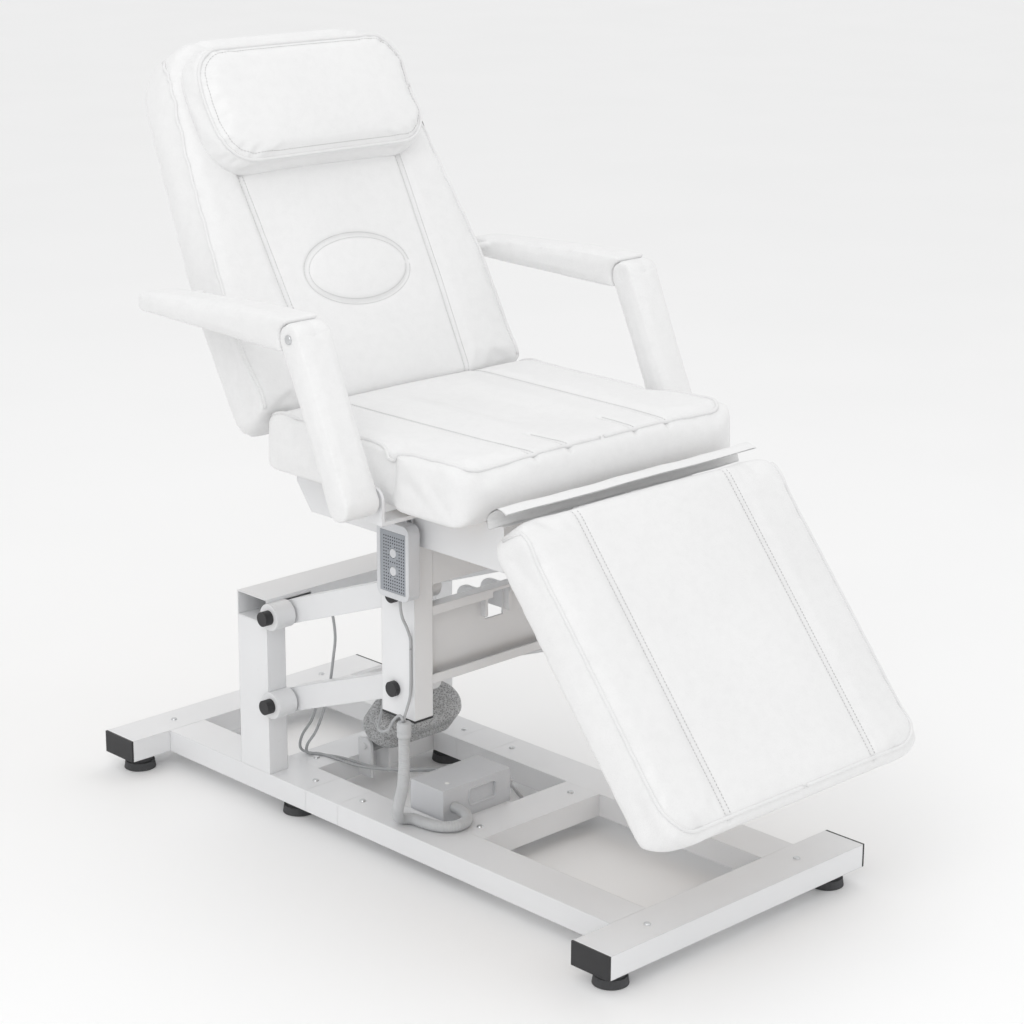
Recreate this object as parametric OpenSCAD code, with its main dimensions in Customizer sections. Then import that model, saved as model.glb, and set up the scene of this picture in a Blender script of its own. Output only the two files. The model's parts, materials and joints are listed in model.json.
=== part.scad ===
// Facial treatment bed: one-motor parallelogram lift, hinged backrest and legrest,
// folding armrests, sliding head pillow, wired handset.
// Millimetres. +Z is up, the foot end points along -Y, the head end along +Y.
// The origin lies on the floor, under the middle of the bed at rest.

/* [Base frame] */
// Width of the flat base tubes
tube_w = 80; // [60:5:100]
// Height of the flat base tubes
tube_h = 40; // [30:5:50]
// Height of the tubes' underside above the floor
tube_z = 30; // [24:1:40]
// Wall of every steel tube
wall = 2; // [1.5:0.5:3]
// Length of the two feet, across the bed
foot_len = 600; // [520:10:700]
// Distance from the middle of the bed to the inner side of a rail
rail_x = 138; // [120:2:150]
// Rear side of the front foot
front_foot_y = -502; // [-540:2:-480]
// Length of the splice piece in each rail
splice_len = 85; // [60:5:120]

/* [Lift] */
// Height of the rear posts above the rails
post_h = 322; // [300:2:360]
// Width of the posts, across the bed
post_w = 40; // [30:5:50]
// Depth of the posts, along the bed
post_d = 80; // [60:5:90]
// Distance along Y of the rear pivots
rear_pivot_y = 318; // [300:1:330]
// Height of the lower rear pivot
rear_pivot_z = 200; // [190:1:210]
// Distance between the lower and upper pivots
link_gap = 162; // [150:1:170]
// Length of the lift arms, pivot to pivot
arm_len = 348; // [330:1:360]
// Angle of the lift arms above level, at rest
arm_angle = 20.4; // [18:0.1:22]
// Height of the section of a lift arm
arm_h = 42; // [36:1:48]

/* [Seat] */
// Underside of the seat cushion
seat_z = 664; // [640:2:700]
// Thickness of the seat cushion at its side
seat_t = 92; // [80:1:110]
// Front end of the seat cushion
seat_front_y = -272; // [-280:1:-260]
// Rear end of the seat cushion
seat_rear_y = 230; // [220:1:236]
// Half width of the seat cushion in front of the armrests
seat_half_front = 318; // [300:1:320]
// Half width of the seat cushion beside the armrests
seat_half_rear = 300; // [280:1:302]

/* [Backrest] */
// Angle of the backrest behind upright, at rest
back_lean = 29.7; // [25:0.1:35]
// Length of the front of the back cushion
back_len = 662; // [600:2:700]
// Half width of the back cushion at its foot
back_half_low = 302; // [290:1:304]
// Half width of the back cushion below its top corners
back_half_top = 262; // [240:2:280]
// Thickness of the back cushion
back_t = 78; // [60:1:90]

/* [Legrest] */
// Angle of the legrest below level, at rest
leg_drop = 51; // [40:1:55]
// Length of the legrest cushion
leg_len = 540; // [500:5:580]
// Half width of the legrest cushion
leg_half = 298; // [280:1:300]
// Thickness of the legrest cushion
leg_t = 73; // [60:1:80]

/* [Armrests] */
// Inner side of an armrest, from the middle of the bed
arm_in_x = 335; // [334:1:345]
// Width of an armrest
armrest_w = 70; // [60:1:80]
// Thickness of an armrest post
armrest_t = 48; // [40:1:52]
// Length of an armrest pad behind its pivot
pad_len = 408; // [380:2:430]

/* [Handset and control box] */
// Width, height and thickness of the handset
handset = [76, 126, 24]; // [20:1:140]
// Width, depth and height of the control box
box = [156, 82, 60]; // [50:1:180]

/* [Hidden] */
$fn = 48;

// Steel, vinyl and plastic colours
steel = [0.93, 0.93, 0.94];
vinyl = [0.95, 0.95, 0.95];
black = [0.08, 0.08, 0.08];
dark = [0.30, 0.31, 0.33];
grey = [0.62, 0.63, 0.64];
pale = [0.85, 0.86, 0.87];
bright = [0.75, 0.76, 0.78];
wood = [0.78, 0.66, 0.50];

eps = 0.01;
gap = 0.4;                      // clearance between pieces that move on each other
tube_top = tube_z + tube_h;

// Legrest: hinge axis, then along (from the hinge) and out (from the hinge) of the slab
leg_hinge = [-274, 650];
leg_start = 17;
leg_board_t = 12;
leg_back = 15;
leg_front_out = leg_back + leg_board_t + leg_t;
leg_nose_r = 18;
leg_heel_r = 70;
leg_front_y = leg_hinge[0] - (leg_start + leg_len - leg_nose_r) * cos(leg_drop)
    - (leg_front_out - leg_nose_r) * sin(leg_drop) - leg_nose_r;

// Base: the rear foot mirrors the front end of the legrest, so the origin is central
rear_foot_y = -leg_front_y - tube_w;
front_cross_y = -135;
rear_cross_y = 289;
post_x = rail_x + tube_w - post_w;
post_y = 324;
post_top = tube_top + post_h;
splice_y = 143;
boss_r = 24;
pin_r = 8;
bolt_end = 4;                   // length of a pivot bolt outside its post
run = 0.1;                      // running clearance of a pivot, on the radius
arch_h = 45;

// Lift pivots: y and z of the lower rear, upper rear, lower front, upper front axes
low_rear = [rear_pivot_y, rear_pivot_z];
up_rear = [rear_pivot_y, rear_pivot_z + link_gap];
arm_vec = [-arm_len * cos(arm_angle), arm_len * sin(arm_angle)];
low_front = low_rear + arm_vec;
up_front = up_rear + arm_vec;
arm_x = 134;                    // inner side of a lift arm
arm_w = 38;
carriage_y = -56;
carriage_z = 276;

// Seat frame
plate_x = 217;
plate_t = 3;
frame_front_y = -262;
frame_rear_y = 236;
frame_low_z = 578;
frame_top_z = 652;

// Backrest: hinge axis, then along (from the hinge) and out (from the hinge) of the slab
back_hinge = [247, 690];
back_start = 43;
back_front_out = 53;
back_board_t = 12;
back_corner_r = 118;
back_foot_r = 40;
back_foot = 22;                 // how much further down the rear of the slab reaches

// Armrest pivots: y and z of the foot axis and of the elbow axis
arm_foot = [-87, 682];
elbow = [22, 928];
elbow_r = armrest_t / 2;
tongue_w = 12;
foot_pin_r = 7;

// Springs and actuator: y and z of the fixed end and of the free end
act_x = -20;
act_low = [271, 92];
act_high = [2, 436];
back_spring_low = [8, 586];
back_spring_high = [257, 608];
ear_x = 50;                     // inner side of the hinge ears on the seat frame
leg_spring_low = [-149, 600];
leg_spring_high = [-341.6, 550];

// Handset and control box places
handset_y = -44;
handset_z = 492;
hook_z = 636;                   // top of the upright that carries the handset
handset_x = -229;               // back of the handset
box_x = -132;
box_y = -31;
box_z = 60;

// Cord routes. Each is a list of points [x, y, z] along the middle of the cord.
hose_d = 20;
lead_d = 5;
mains_d = 7;
hose_route = [[-240, -54, 280], [-240, -54, 262], [-240, -54, 240], [-240, -54, 218],
    [-240, -53, 195], [-238, -48, 168], [-233, -36, 140], [-224, -20, 114], [-211, -4, 92],
    [-196, 2, 81], [-183, -10, 80], [-180, -38, 80], [-172, -66, 80], [-152, -84, 81],
    [-127, -82, 82], [-113, -66, 84], [-109, -48, 86], [-109, -32, 86]];
handset_lead_route = [[-241, -48, 492], [-241, -48, 478], [-237, -48, 458], [-228, -49, 438],
    [-222, -50, 420], [-221, -50, 410], [-221, -50, 401]];
lead_tail_route = [[-221, -50, 400], [-221, -50, 380], [-221, -50, 340], [-224, -51, 318],
    [-232, -52, 300], [-238, -53, 288], [-239, -53, 281]];
motor_lead_route = [[-153, 96, 260], [-156, 94, 246], [-172, 82, 232], [-196, 60, 228],
    [-216, 30, 234], [-230, -4, 250], [-238, -24, 272], [-242, -42, 288], [-244, -53, 290],
    [-244, -55, 282.5]];
upper_lead_route = [[-130, 262, 372], [-124, 260, 360], [-122, 256, 320], [-122, 262, 280],
    [-122, 272, 230], [-122, 288, 180], [-122, 312, 130], [-121, 338, 96], [-114, 346, 76],
    [-96, 336, 72.6], [-90, 296, 73], [-84, 250, 72], [-68, 196, 76], [-50, 130, 90],
    [-38, 82, 102], [-34, 51, 106]];
lower_lead_route = [[-130, 300, 204], [-124, 304, 192], [-122, 322, 150], [-122, 350, 112],
    [-118, 362, 84], [-108, 356, 73], [-94, 326, 72.6], [-80, 290, 73], [-66, 240, 70],
    [-50, 180, 74], [-34, 120, 86], [-24, 80, 98], [-20, 51, 102]];
mains_route = [[24, -2, 80], [40, -2, 79], [58, -1, 68], [78, 0, 44], [100, 2, 20],
    [124, 4, 7], [150, 5, 3.6], [180, 4, 3.6], [210, 0, 3.6], [236, -10, 3.6],
    [258, -30, 3.6], [271, -60, 3.6], [278, -95, 3.6], [280, -125, 3.6]];
coil_mid = [320, -172];         // centre of the coil on the floor
coil_r = 37;                    // radius of the middle of its turns
coil_wide = 23;
coil_high = 26;

// A solid whose outline in the YZ plane is the 2D child, from x0 to x1
module along_x(x0, x1) {
    translate([x0, 0, 0]) rotate([90, 0, 90]) linear_extrude(x1 - x0) children();
}

// A round bar along X through a point of the YZ plane
module bar_x(x0, x1, p, r) {
    translate([x0, p[0], p[1]]) rotate([0, 90, 0]) cylinder(h = x1 - x0, r = r);
}

// The child and its mirror image across the middle of the bed
module both_sides() {
    children();
    mirror([1, 0, 0]) children();
}

module box_at(low, size) {
    translate(low) cube(size);
}

// A rectangle from low to high with a rounded corner of radius r everywhere
module round_rect(low, high, r) {
    translate([low[0] + r, low[1]]) square([high[0] - low[0] - 2 * r, high[1] - low[1]]);
    translate([low[0], low[1] + r]) square([high[0] - low[0], high[1] - low[1] - 2 * r]);
    for (a = [low[0] + r, high[0] - r], b = [low[1] + r, high[1] - r])
        translate([a, b]) circle(r);
}

// A rectangular tube: outer size, wall and the axis (0, 1 or 2) that it runs along
module tube(low, size, axis) {
    hollow = [for (i = [0:2]) i == axis ? size[i] + 2 : size[i] - 2 * wall];
    start = [for (i = [0:2]) i == axis ? low[i] - 1 : low[i] + wall];
    difference() {
        box_at(low, size);
        box_at(start, hollow);
    }
}

// A bar of radius r in the YZ plane, from p towards q, between two distances from p
module rod(x, p, q, from, to, r) {
    turn = atan2(q[1] - p[1], q[0] - p[0]);
    translate([x, p[0], p[1]]) rotate([turn - 90, 0, 0])
        translate([0, 0, from]) cylinder(h = to - from, r = r);
}

// Sweep of a round cord along a route
function unit(v) = v / norm(v);
function heading(p, i) = unit(p[min(i + 1, len(p) - 1)] - p[max(i - 1, 0)]);
function side_of(t) = abs(t[0]) < 0.8 ? unit(cross(t, [1, 0, 0])) : unit(cross(t, [0, 1, 0]));
function carried(p, i) = i == 0 ? side_of(heading(p, 0))
    : let (t = heading(p, i), s = carried(p, i - 1)) unit(s - (s * t) * t);
function ring(p, i, r, n) = let (t = heading(p, i), s = carried(p, i), w = cross(t, s))
    [for (k = [0:n - 1]) p[i] + r * (cos(360 * k / n) * s + sin(360 * k / n) * w)];

module cord(route, d, sides = 8) {
    last = len(route) - 1;
    points = [for (i = [0:last]) each ring(route, i, d / 2, sides)];
    walls = [for (i = [0:last - 1], k = [0:sides - 1])
        let (a = i * sides + k, b = i * sides + (k + 1) % sides)
        [a, b, b + sides, a + sides]];
    ends = [[for (k = [sides - 1:-1:0]) k], [for (k = [0:sides - 1]) last * sides + k]];
    polyhedron(points, concat([for (w = walls) [w[3], w[2], w[1], w[0]]],
        [for (e = ends) [for (k = [len(e) - 1:-1:0]) e[k]]]), convexity = 6);
}

// ---- Base ----

module foot_tubes() {
    color(steel)
        for (y = [rear_foot_y, front_foot_y - tube_w])
            tube([-foot_len / 2, y, tube_z], [foot_len, tube_w, tube_h], 0);
}

module rail_tubes() {
    stops = [front_foot_y, splice_y, splice_y + splice_len, rear_foot_y];
    color(steel) both_sides()
        for (i = [0:2])
            tube([rail_x, stops[i], tube_z], [tube_w, stops[i + 1] - stops[i] - gap, tube_h], 1);
}

module cross_tubes() {
    color(steel)
        for (y = [front_cross_y, rear_cross_y])
            tube([-rail_x, y, tube_z], [2 * rail_x, tube_w, tube_h], 0);
}

module rear_post() {
    difference() {
        tube([post_x, post_y, tube_top], [post_w, post_d, post_h - arch_h], 2);
        for (p = [low_rear, up_rear]) bar_x(post_x - 1, post_x + post_w + 1, p, boss_r);
    }
}

module left_rear_post() {
    color(steel) mirror([1, 0, 0]) rear_post();
}

module right_rear_post() {
    color(steel) rear_post();
}

module arch_beam() {
    reach = post_x + post_w;
    color(steel)
        difference() {
            tube([-reach, post_y, post_top - arch_h], [2 * reach, post_d, arch_h], 0);
            both_sides() bar_x(arm_x - 16, post_x + post_w + 1, up_rear, boss_r);
        }
}

module pivot_bosses() {
    color(steel) both_sides()
        for (p = [low_rear, up_rear])
            difference() {
                bar_x(post_x, post_x + post_w, p, boss_r);
                bar_x(post_x - 1, post_x + post_w + 1, p, pin_r);
            }
}

module foot_end_caps() {
    cap_t = 4;
    plug_t = 14;
    color(black) both_sides()
        for (y = [rear_foot_y, front_foot_y - tube_w])
            union() {
                box_at([foot_len / 2, y, tube_z], [cap_t, tube_w, tube_h]);
                box_at([foot_len / 2 - plug_t, y + wall + gap, tube_z + wall + gap],
                    [plug_t + eps, tube_w - 2 * (wall + gap), tube_h - 2 * (wall + gap)]);
            }
}

// One levelling foot: a two-tier disc under the tube and its threaded stem
module leveler() {
    disc_r = 29;
    union() {
        cylinder(h = 14, r1 = disc_r, r2 = disc_r - 2);
        translate([0, 0, 14 - eps]) cylinder(h = tube_z - 16, r = disc_r - 6);
        translate([0, 0, tube_z - 3]) cylinder(h = 20, r = 5);
    }
}

module leveling_feet() {
    inset = 42;
    color(dark) both_sides() {
        for (y = [rear_foot_y, front_foot_y - tube_w])
            translate([foot_len / 2 - inset, y + tube_w / 2, 0]) leveler();
        translate([rail_x + tube_w / 2, splice_y + splice_len + 66, 0]) leveler();
    }
}

module frame_screws() {
    spots = [[rail_x - 30, front_cross_y + tube_w / 2], [rail_x - 30, rear_cross_y + tube_w / 2],
        [rail_x + tube_w / 2, front_foot_y - tube_w / 2],
        [rail_x + tube_w / 2, rear_foot_y + tube_w / 2],
        [rail_x + tube_w / 2, splice_y - 20], [rail_x + tube_w / 2, splice_y + splice_len + 20]];
    color(bright) both_sides()
        for (p = spots)
            translate([p[0], p[1], tube_top]) cylinder(h = 2.4, r1 = 6, r2 = 4.5);
}

module base_brackets() {
    tray_t = 3;
    ear = 6;
    // Tray of the control box, hung on the rear side of the front cross tube
    color(steel) {
        tray_y = front_cross_y + tube_w;
        box_at([box_x + 12, tray_y, box_z - tray_t], [box[0] - 24, box_y + box[1] - tray_y - 4, tray_t]);
        box_at([box_x + 12, tray_y, tube_z + 4], [box[0] - 24, tray_t, box_z - tube_z - 7 + eps]);
    }
    // Clevis of the lift actuator, on the front side of the rear cross tube
    color(steel)
        for (x = [act_x - 18 - ear, act_x + 18])
            difference() {
                along_x(x, x + ear) union() {
                    translate([act_low[0], tube_z + 4]) square([rear_cross_y - act_low[0], 70]);
                    translate(act_low) circle(16);
                    translate([act_low[0] - 16, tube_z + 4]) square([17, act_low[1] - tube_z - 4]);
                }
                bar_x(x - 1, x + ear + 1, act_low, 6);
            }
    color(bright) bar_x(act_x - 18 - ear - 4, act_x + 18 + ear + 4, act_low, 6);
}

module control_box() {
    skin = 2.5;
    grip = [58, 26];
    color(pale)
        difference() {
            box_at([box_x, box_y, box_z], box);
            box_at([box_x + skin, box_y + skin + 6, box_z + skin],
                [box[0] - 2 * skin, box[1] - 2 * skin - 6, box[2] - 2 * skin]);
            box_at([box_x + (box[0] - grip[0]) / 2 + 12, box_y - 1, box_z + 20], [grip[0], 5, grip[1]]);
        }
}

module rear_pivot_bolts() {
    color(bright) both_sides()
        for (p = [low_rear, up_rear]) bar_x(arm_x - 6, post_x + post_w + bolt_end, p, pin_r);
}

// One black cap over the outer end of a pivot bolt
module bolt_cap(p, thick) {
    side = post_x + post_w;
    difference() {
        bar_x(side + gap, side + thick, p, 13);
        bar_x(side, side + bolt_end + gap, p, pin_r + gap);
    }
}

module rear_bolt_caps() {
    color(black) both_sides()
        for (p = [low_rear, up_rear]) bolt_cap(p, 16);
}

// ---- Lift arms ----

module lift_arm(rear, front) {
    eye = arm_h / 2;
    length = norm(front - rear);
    difference() {
        along_x(arm_x, arm_x + arm_w) translate(rear)
            rotate(atan2(front[1] - rear[1], front[0] - rear[0])) union() {
                translate([0, -eye]) square([length, arm_h]);
                circle(eye);
                translate([length, 0]) circle(eye);
            }
        along_x(arm_x + wall, arm_x + arm_w - wall) translate(rear)
            rotate(atan2(front[1] - rear[1], front[0] - rear[0]))
                translate([eye + 12, wall - eye]) square([length - 2 * eye - 24, arm_h - 2 * wall]);
        for (p = [rear, front]) bar_x(arm_x - 1, arm_x + arm_w + 1, p, pin_r + run);
    }
}

module left_lower_arm() {
    color(steel) mirror([1, 0, 0]) lift_arm(low_rear, low_front);
}

module right_lower_arm() {
    color(steel) lift_arm(low_rear, low_front);
}

module left_upper_arm() {
    color(steel) mirror([1, 0, 0]) lift_arm(up_rear, up_front);
}

module right_upper_arm() {
    color(steel) lift_arm(up_rear, up_front);
}

// Round tube that ties the two lower arms together
module lower_arm_tie() {
    at = low_rear + arm_vec * 0.22;
    color(steel)
        difference() {
            bar_x(-arm_x, arm_x, at, 14);
            bar_x(-arm_x - 1, arm_x + 1, at, 11.5);
        }
}

// ---- Carriage ----

module carriage_post() {
    difference() {
        tube([post_x, carriage_y, carriage_z], [post_w, post_d, frame_top_z - 3 - carriage_z], 2);
        for (p = [low_front, up_front]) bar_x(post_x - 1, post_x + post_w + 1, p, pin_r);
        // room for the side plate of the seat frame
        box_at([plate_x - plate_t, carriage_y - 1, frame_low_z], [10, post_d + 2, 100]);
    }
}

module left_carriage_post() {
    color(steel) mirror([1, 0, 0]) carriage_post();
}

module right_carriage_post() {
    color(steel) carriage_post();
}

// Lipped channel between the posts, open to the front, with the actuator's two lugs
module carriage_channel() {
    low = 330;
    high = 464;
    lip = 16;
    sheet = 3;
    front = carriage_y + 2;
    web = front + 22;
    color(steel)
        difference() {
            union() {
                along_x(-post_x, post_x) difference() {
                    translate([front, low]) square([web - front, high - low]);
                    translate([front + sheet, low + sheet])
                        square([web - front - 2 * sheet, high - low - 2 * sheet]);
                    translate([front - 1, low + lip]) square([sheet + 2, high - low - 2 * lip]);
                }
                for (x = [act_x - 30, act_x + 24])
                    along_x(x, x + 6) union() {
                        translate([front + 8, act_high[1] - 22]) square([act_high[0] - front - 8, 44]);
                        translate(act_high) circle(22);
                    }
            }
            box_at([act_x - 20, front - 2, act_high[1] - 30], [40, 60, 52]);
        }
    color(bright) bar_x(act_x - 34, act_x + 34, act_high, 6);
}

module carriage_plate() {
    color(steel) {
        box_at([-post_x, carriage_y + 4, 500], [2 * post_x, 4, frame_low_z - 500]);
        box_at([-post_x, carriage_y + 8, 500], [2 * post_x, 17, 4]);
    }
}

// Black plugs in the posts' lower ends and black caps on the front pivot bolts
module carriage_caps() {
    color(black) both_sides() {
        box_at([post_x, carriage_y, carriage_z - 4], [post_w, post_d, 4]);
        for (p = [low_front, up_front]) bolt_cap(p, 10);
    }
}

module carriage_bolts() {
    color(bright) both_sides()
        for (p = [low_front, up_front]) bar_x(arm_x - 6, post_x + post_w + bolt_end, p, pin_r);
}

// ---- Seat ----

module seat_frame() {
    cut = 36;
    bar = [40, 24];
    arm_bar_x = 324;
    slot = 22;
    color(steel) {
        difference() {
            union() {
                both_sides() {
                    along_x(plate_x - plate_t, plate_x) polygon([[frame_front_y, frame_low_z],
                        [frame_rear_y - cut, frame_low_z], [frame_rear_y, frame_low_z + cut + 10],
                        [frame_rear_y, frame_top_z], [frame_front_y, frame_top_z]]);
                    // hinge ears of the backrest and of the legrest
                    along_x(ear_x, ear_x + 8) union() {
                        translate(back_hinge) circle(13);
                        polygon([[206, 600], [frame_rear_y, 600], [back_hinge[0] + 12, 686],
                            [back_hinge[0] - 13, 690], [back_hinge[0] - 13, frame_top_z],
                            [206, frame_top_z]]);
                    }
                    along_x(ear_x, ear_x + 8) union() {
                        translate(leg_hinge) circle(11);
                        translate([leg_hinge[0], leg_hinge[1] - 26]) square([40, 28]);
                    }
                    // flat bar that carries an armrest
                    box_at([plate_x - plate_t, arm_foot[0] - 20, frame_top_z - 10],
                        [arm_bar_x - plate_x + plate_t + 6, 40, 7]);
                    along_x(arm_bar_x, arm_bar_x + 6) union() {
                        translate([arm_foot[0] - 20, frame_top_z - 10]) square([40,
                            arm_foot[1] - frame_top_z + 10]);
                        translate(arm_foot) circle(20);
                    }
                    bar_x(arm_bar_x, arm_in_x + 30, arm_foot, foot_pin_r);
                }
                difference() {
                    box_at([-plate_x + plate_t, frame_front_y, frame_top_z - 3],
                        [2 * (plate_x - plate_t), frame_rear_y - frame_front_y, 3]);
                    box_at([-slot, frame_rear_y - 100, frame_top_z - 4], [2 * slot, 110, 5]);
                }
                for (y = [back_spring_low[0] - 2, leg_spring_low[0] + 20])
                    box_at([gap - post_x, y, frame_top_z - 3 - bar[1]],
                        [2 * (post_x - gap), bar[0], bar[1]]);
                for (x = [-18, 12]) {
                    along_x(x, x + 6) union() {
                        translate(back_spring_low) circle(11);
                        translate([back_spring_low[0] - 11, back_spring_low[1]])
                            square([22, frame_top_z - 3 - back_spring_low[1]]);
                    }
                    along_x(x, x + 6) union() {
                        translate(leg_spring_low) circle(11);
                        translate([leg_spring_low[0] - 11, leg_spring_low[1]])
                            square([40, frame_top_z - 3 - leg_spring_low[1]]);
                    }
                }
            }
            both_sides() {
                bar_x(ear_x - 1, ear_x + 9, back_hinge, 6);
                bar_x(ear_x - 1, ear_x + 9, leg_hinge, 6);
            }
        }
    }
}

module seat_board() {
    inset = 60;
    color(wood)
        box_at([-seat_half_rear + inset, seat_front_y + inset, frame_top_z],
            [2 * (seat_half_rear - inset), seat_rear_y - seat_front_y - 2 * inset,
            seat_z - frame_top_z]);
}

module seat_cushion() {
    split_y = arm_foot[0] + 5;
    top = seat_z + seat_t;
    color(vinyl)
        intersection() {
            along_x(-seat_half_front, seat_half_front) union() {
                round_rect([seat_front_y, seat_z], [seat_rear_y, top], 26);
                translate([seat_rear_y - 40, seat_z]) square([30, 30]);
            }
            union() {
                translate([0, 0, seat_z - 1]) linear_extrude(seat_t + 2)
                    round_rect([-seat_half_front, seat_front_y], [seat_half_front, split_y - 20], 34);
                translate([0, 0, seat_z - 1]) linear_extrude(seat_t + 2)
                    round_rect([-seat_half_rear, seat_front_y + 40], [seat_half_rear, seat_rear_y], 34);
            }
        }
}

// Bracket on the seat frame: a foot, and an upright that the handset's hook hangs on
module handset_holder() {
    side = -plate_x;
    color(pale) {
        box_at([side - 4, handset_y - 14, frame_low_z + 6], [4, 28, 20]);
        box_at([side - 8, handset_y - 14, frame_low_z + 6], [4 + eps, 28, hook_z - frame_low_z - 6]);
    }
}

// ---- Armrests ----

// Centre line of an armrest post in the YZ plane: turned so that +X runs up the post
module up_the_post(p) {
    translate(p) rotate(atan2(elbow[1] - arm_foot[1], elbow[0] - arm_foot[0])) children();
}

module arm_post() {
    reach = norm(elbow - arm_foot);
    slot_x = arm_in_x + (armrest_w - tongue_w) / 2 - 1;
    difference() {
        along_x(arm_in_x, arm_in_x + armrest_w)
            up_the_post(arm_foot) union() {
                circle(elbow_r);
                translate([0, -elbow_r]) square([reach, armrest_t]);
                translate([reach, 0]) circle(elbow_r);
            }
        bar_x(arm_in_x - 1, arm_in_x + 31, arm_foot, foot_pin_r + run);
        // slot for the tongue of the pad
        box_at([slot_x, elbow[0] - 18, elbow[1] - 22], [tongue_w + 2, 60, 60]);
        bar_x(arm_in_x - 1, arm_in_x + armrest_w + 1, elbow, 5 + run);
    }
}

module left_arm_post() {
    color(vinyl) mirror([1, 0, 0]) arm_post();
}

module right_arm_post() {
    color(vinyl) arm_post();
}

module arm_pad() {
    low = elbow[1] - 23;
    high = elbow[1] + 30;
    tip_y = elbow[0] + pad_len;
    back_side = elbow_r + 2;
    link = back_hinge + elbow - arm_foot;
    difference() {
        union() {
            intersection() {
                along_x(arm_in_x - 1, arm_in_x + armrest_w + 1)
                    polygon([[elbow[0] + 8, low], [elbow[0] + 60, low], [tip_y - 30, low + 8],
                        [tip_y, low + 16], [tip_y, low + 24], [tip_y - 30, high - 14],
                        [elbow[0] + 120, high], [elbow[0] + 8, high]]);
                translate([0, 0, low - 5]) linear_extrude(high - low + 10) union() {
                    translate([arm_in_x, elbow[0]]) square([armrest_w, pad_len - armrest_w / 2]);
                    translate([arm_in_x + armrest_w / 2, tip_y - armrest_w / 2])
                        circle(armrest_w / 2);
                }
            }
            bar_x(back_half_low + 5, arm_in_x + 10, link, 7);
        }
        // room for the round top of the post and for its rear side
        along_x(arm_in_x - 2, arm_in_x + armrest_w + 2) union() {
            translate(elbow) circle(elbow_r + 1);
            up_the_post(elbow) translate([-90, -back_side]) square([90, 2 * back_side]);
        }
    }
    // tongue in the slot of the post, and the elbow pin
    along_x(arm_in_x + (armrest_w - tongue_w) / 2, arm_in_x + (armrest_w + tongue_w) / 2) union() {
        translate(elbow) circle(12);
        translate([elbow[0], elbow[1] - 8]) square([40, 20]);
    }
    bar_x(arm_in_x + 6, arm_in_x + armrest_w - 6, elbow, 5);
}

module left_arm_pad() {
    color(vinyl) mirror([1, 0, 0]) arm_pad();
}

module right_arm_pad() {
    color(vinyl) arm_pad();
}

// ---- Backrest ----

// Outline of the back cushion, seen square to its face: x across, y along
module back_outline(shrink) {
    low = back_start - back_foot + shrink;
    high = back_start + back_len - shrink;
    hull() both_sides_2d() {
        translate([back_half_low - back_foot_r - shrink, low + back_foot_r]) circle(back_foot_r);
        translate([back_half_low - back_foot_r - shrink, low + back_len * 0.35]) circle(back_foot_r);
        translate([back_half_top - back_corner_r - shrink, high - back_corner_r]) circle(back_corner_r);
    }
}

module both_sides_2d() {
    children();
    mirror([1, 0]) children();
}

// Places a child drawn with x across, y along and z out of the backrest's face
module on_back() {
    translate([0, back_hinge[0], back_hinge[1]]) rotate([90 - back_lean, 0, 0]) children();
}

module back_frame() {
    side = ear_x + 9;
    tube_x = ear_x + 16;
    deck = back_front_out - back_t - back_board_t;
    color(steel) {
        both_sides() {
            on_back() box_at([tube_x, back_start + 14, deck - 20], [25, 420, 20]);
            bar_x(side, side + 11, back_hinge, 14);
            along_x(side + 0.5, side + 11.5) translate(back_hinge) rotate(90 - back_lean)
                polygon([[-3, -13], [8, 9], [15, -10], [16, deck - 2], [back_start + 60, deck - 3],
                    [back_start + 60, deck - 17], [0, deck - 17]]);
            bar_x(ear_x - 6, side + 1, back_hinge, 6 - run);
        }
        for (s = [14, 404])
            on_back() box_at([-tube_x - 1, back_start + s, deck - 18], [2 * tube_x + 2, 30, 16]);
        // lever for the gas spring
        along_x(-4, 4) hull() {
            translate(back_spring_high) circle(10);
            translate(back_hinge) rotate(90 - back_lean)
                translate([back_start + 26, deck - 12]) circle(10);
        }
    }
}

module back_board() {
    color(wood) on_back()
        translate([0, 0, back_front_out - back_t - back_board_t])
            linear_extrude(back_board_t) back_outline(20);
}

module back_cushion() {
    back = back_front_out - back_t;
    top = back_start + back_len;
    color(vinyl) on_back() intersection() {
        translate([0, 0, back]) linear_extrude(back_t) back_outline(0);
        along_x(-back_half_low - 1, back_half_low + 1)
            polygon([[back_start - back_foot, back - 1], [back_start, back_front_out + 1],
                [top + 1, back_front_out + 1], [top + 1, back - 1]]);
    }
}

module head_pillow() {
    half = 235;
    low = back_start + 404;
    color(vinyl) on_back()
        translate([0, 0, back_front_out + 0.5]) linear_extrude(54)
            round_rect([-half, low], [half, low + 226], 70);
}

module strap_buckle() {
    buckle_x = back_half_low - 26;
    color(black) on_back()
        box_at([buckle_x, back_start + 452, back_front_out - 44], [12, 26, 20]);
}

// ---- Legrest ----

// Places a child drawn with x across, y along (down the legrest) and z out of its face
module on_leg() {
    translate([0, leg_hinge[0], leg_hinge[1]]) rotate([180 + leg_drop, 0, 0])
        mirror([0, 0, 1]) children();
}

module leg_frame() {
    side = ear_x + 9;
    tube_x = ear_x + 16;
    color(steel) {
        both_sides() {
            on_leg() box_at([tube_x, leg_start + 10, leg_back - 20], [25, 420, 20]);
            bar_x(side, side + 11, leg_hinge, 10);
            on_leg() box_at([side + 0.5, -1, leg_back - 19], [11, leg_start + 50, 11]);
            bar_x(ear_x - 6, side + 1, leg_hinge, 6 - run);
        }
        for (s = [130 - leg_start, 400])
            on_leg() box_at([-tube_x - 1, leg_start + s, leg_back - 18], [2 * tube_x + 2, 26, 16]);
    }
}

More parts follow.
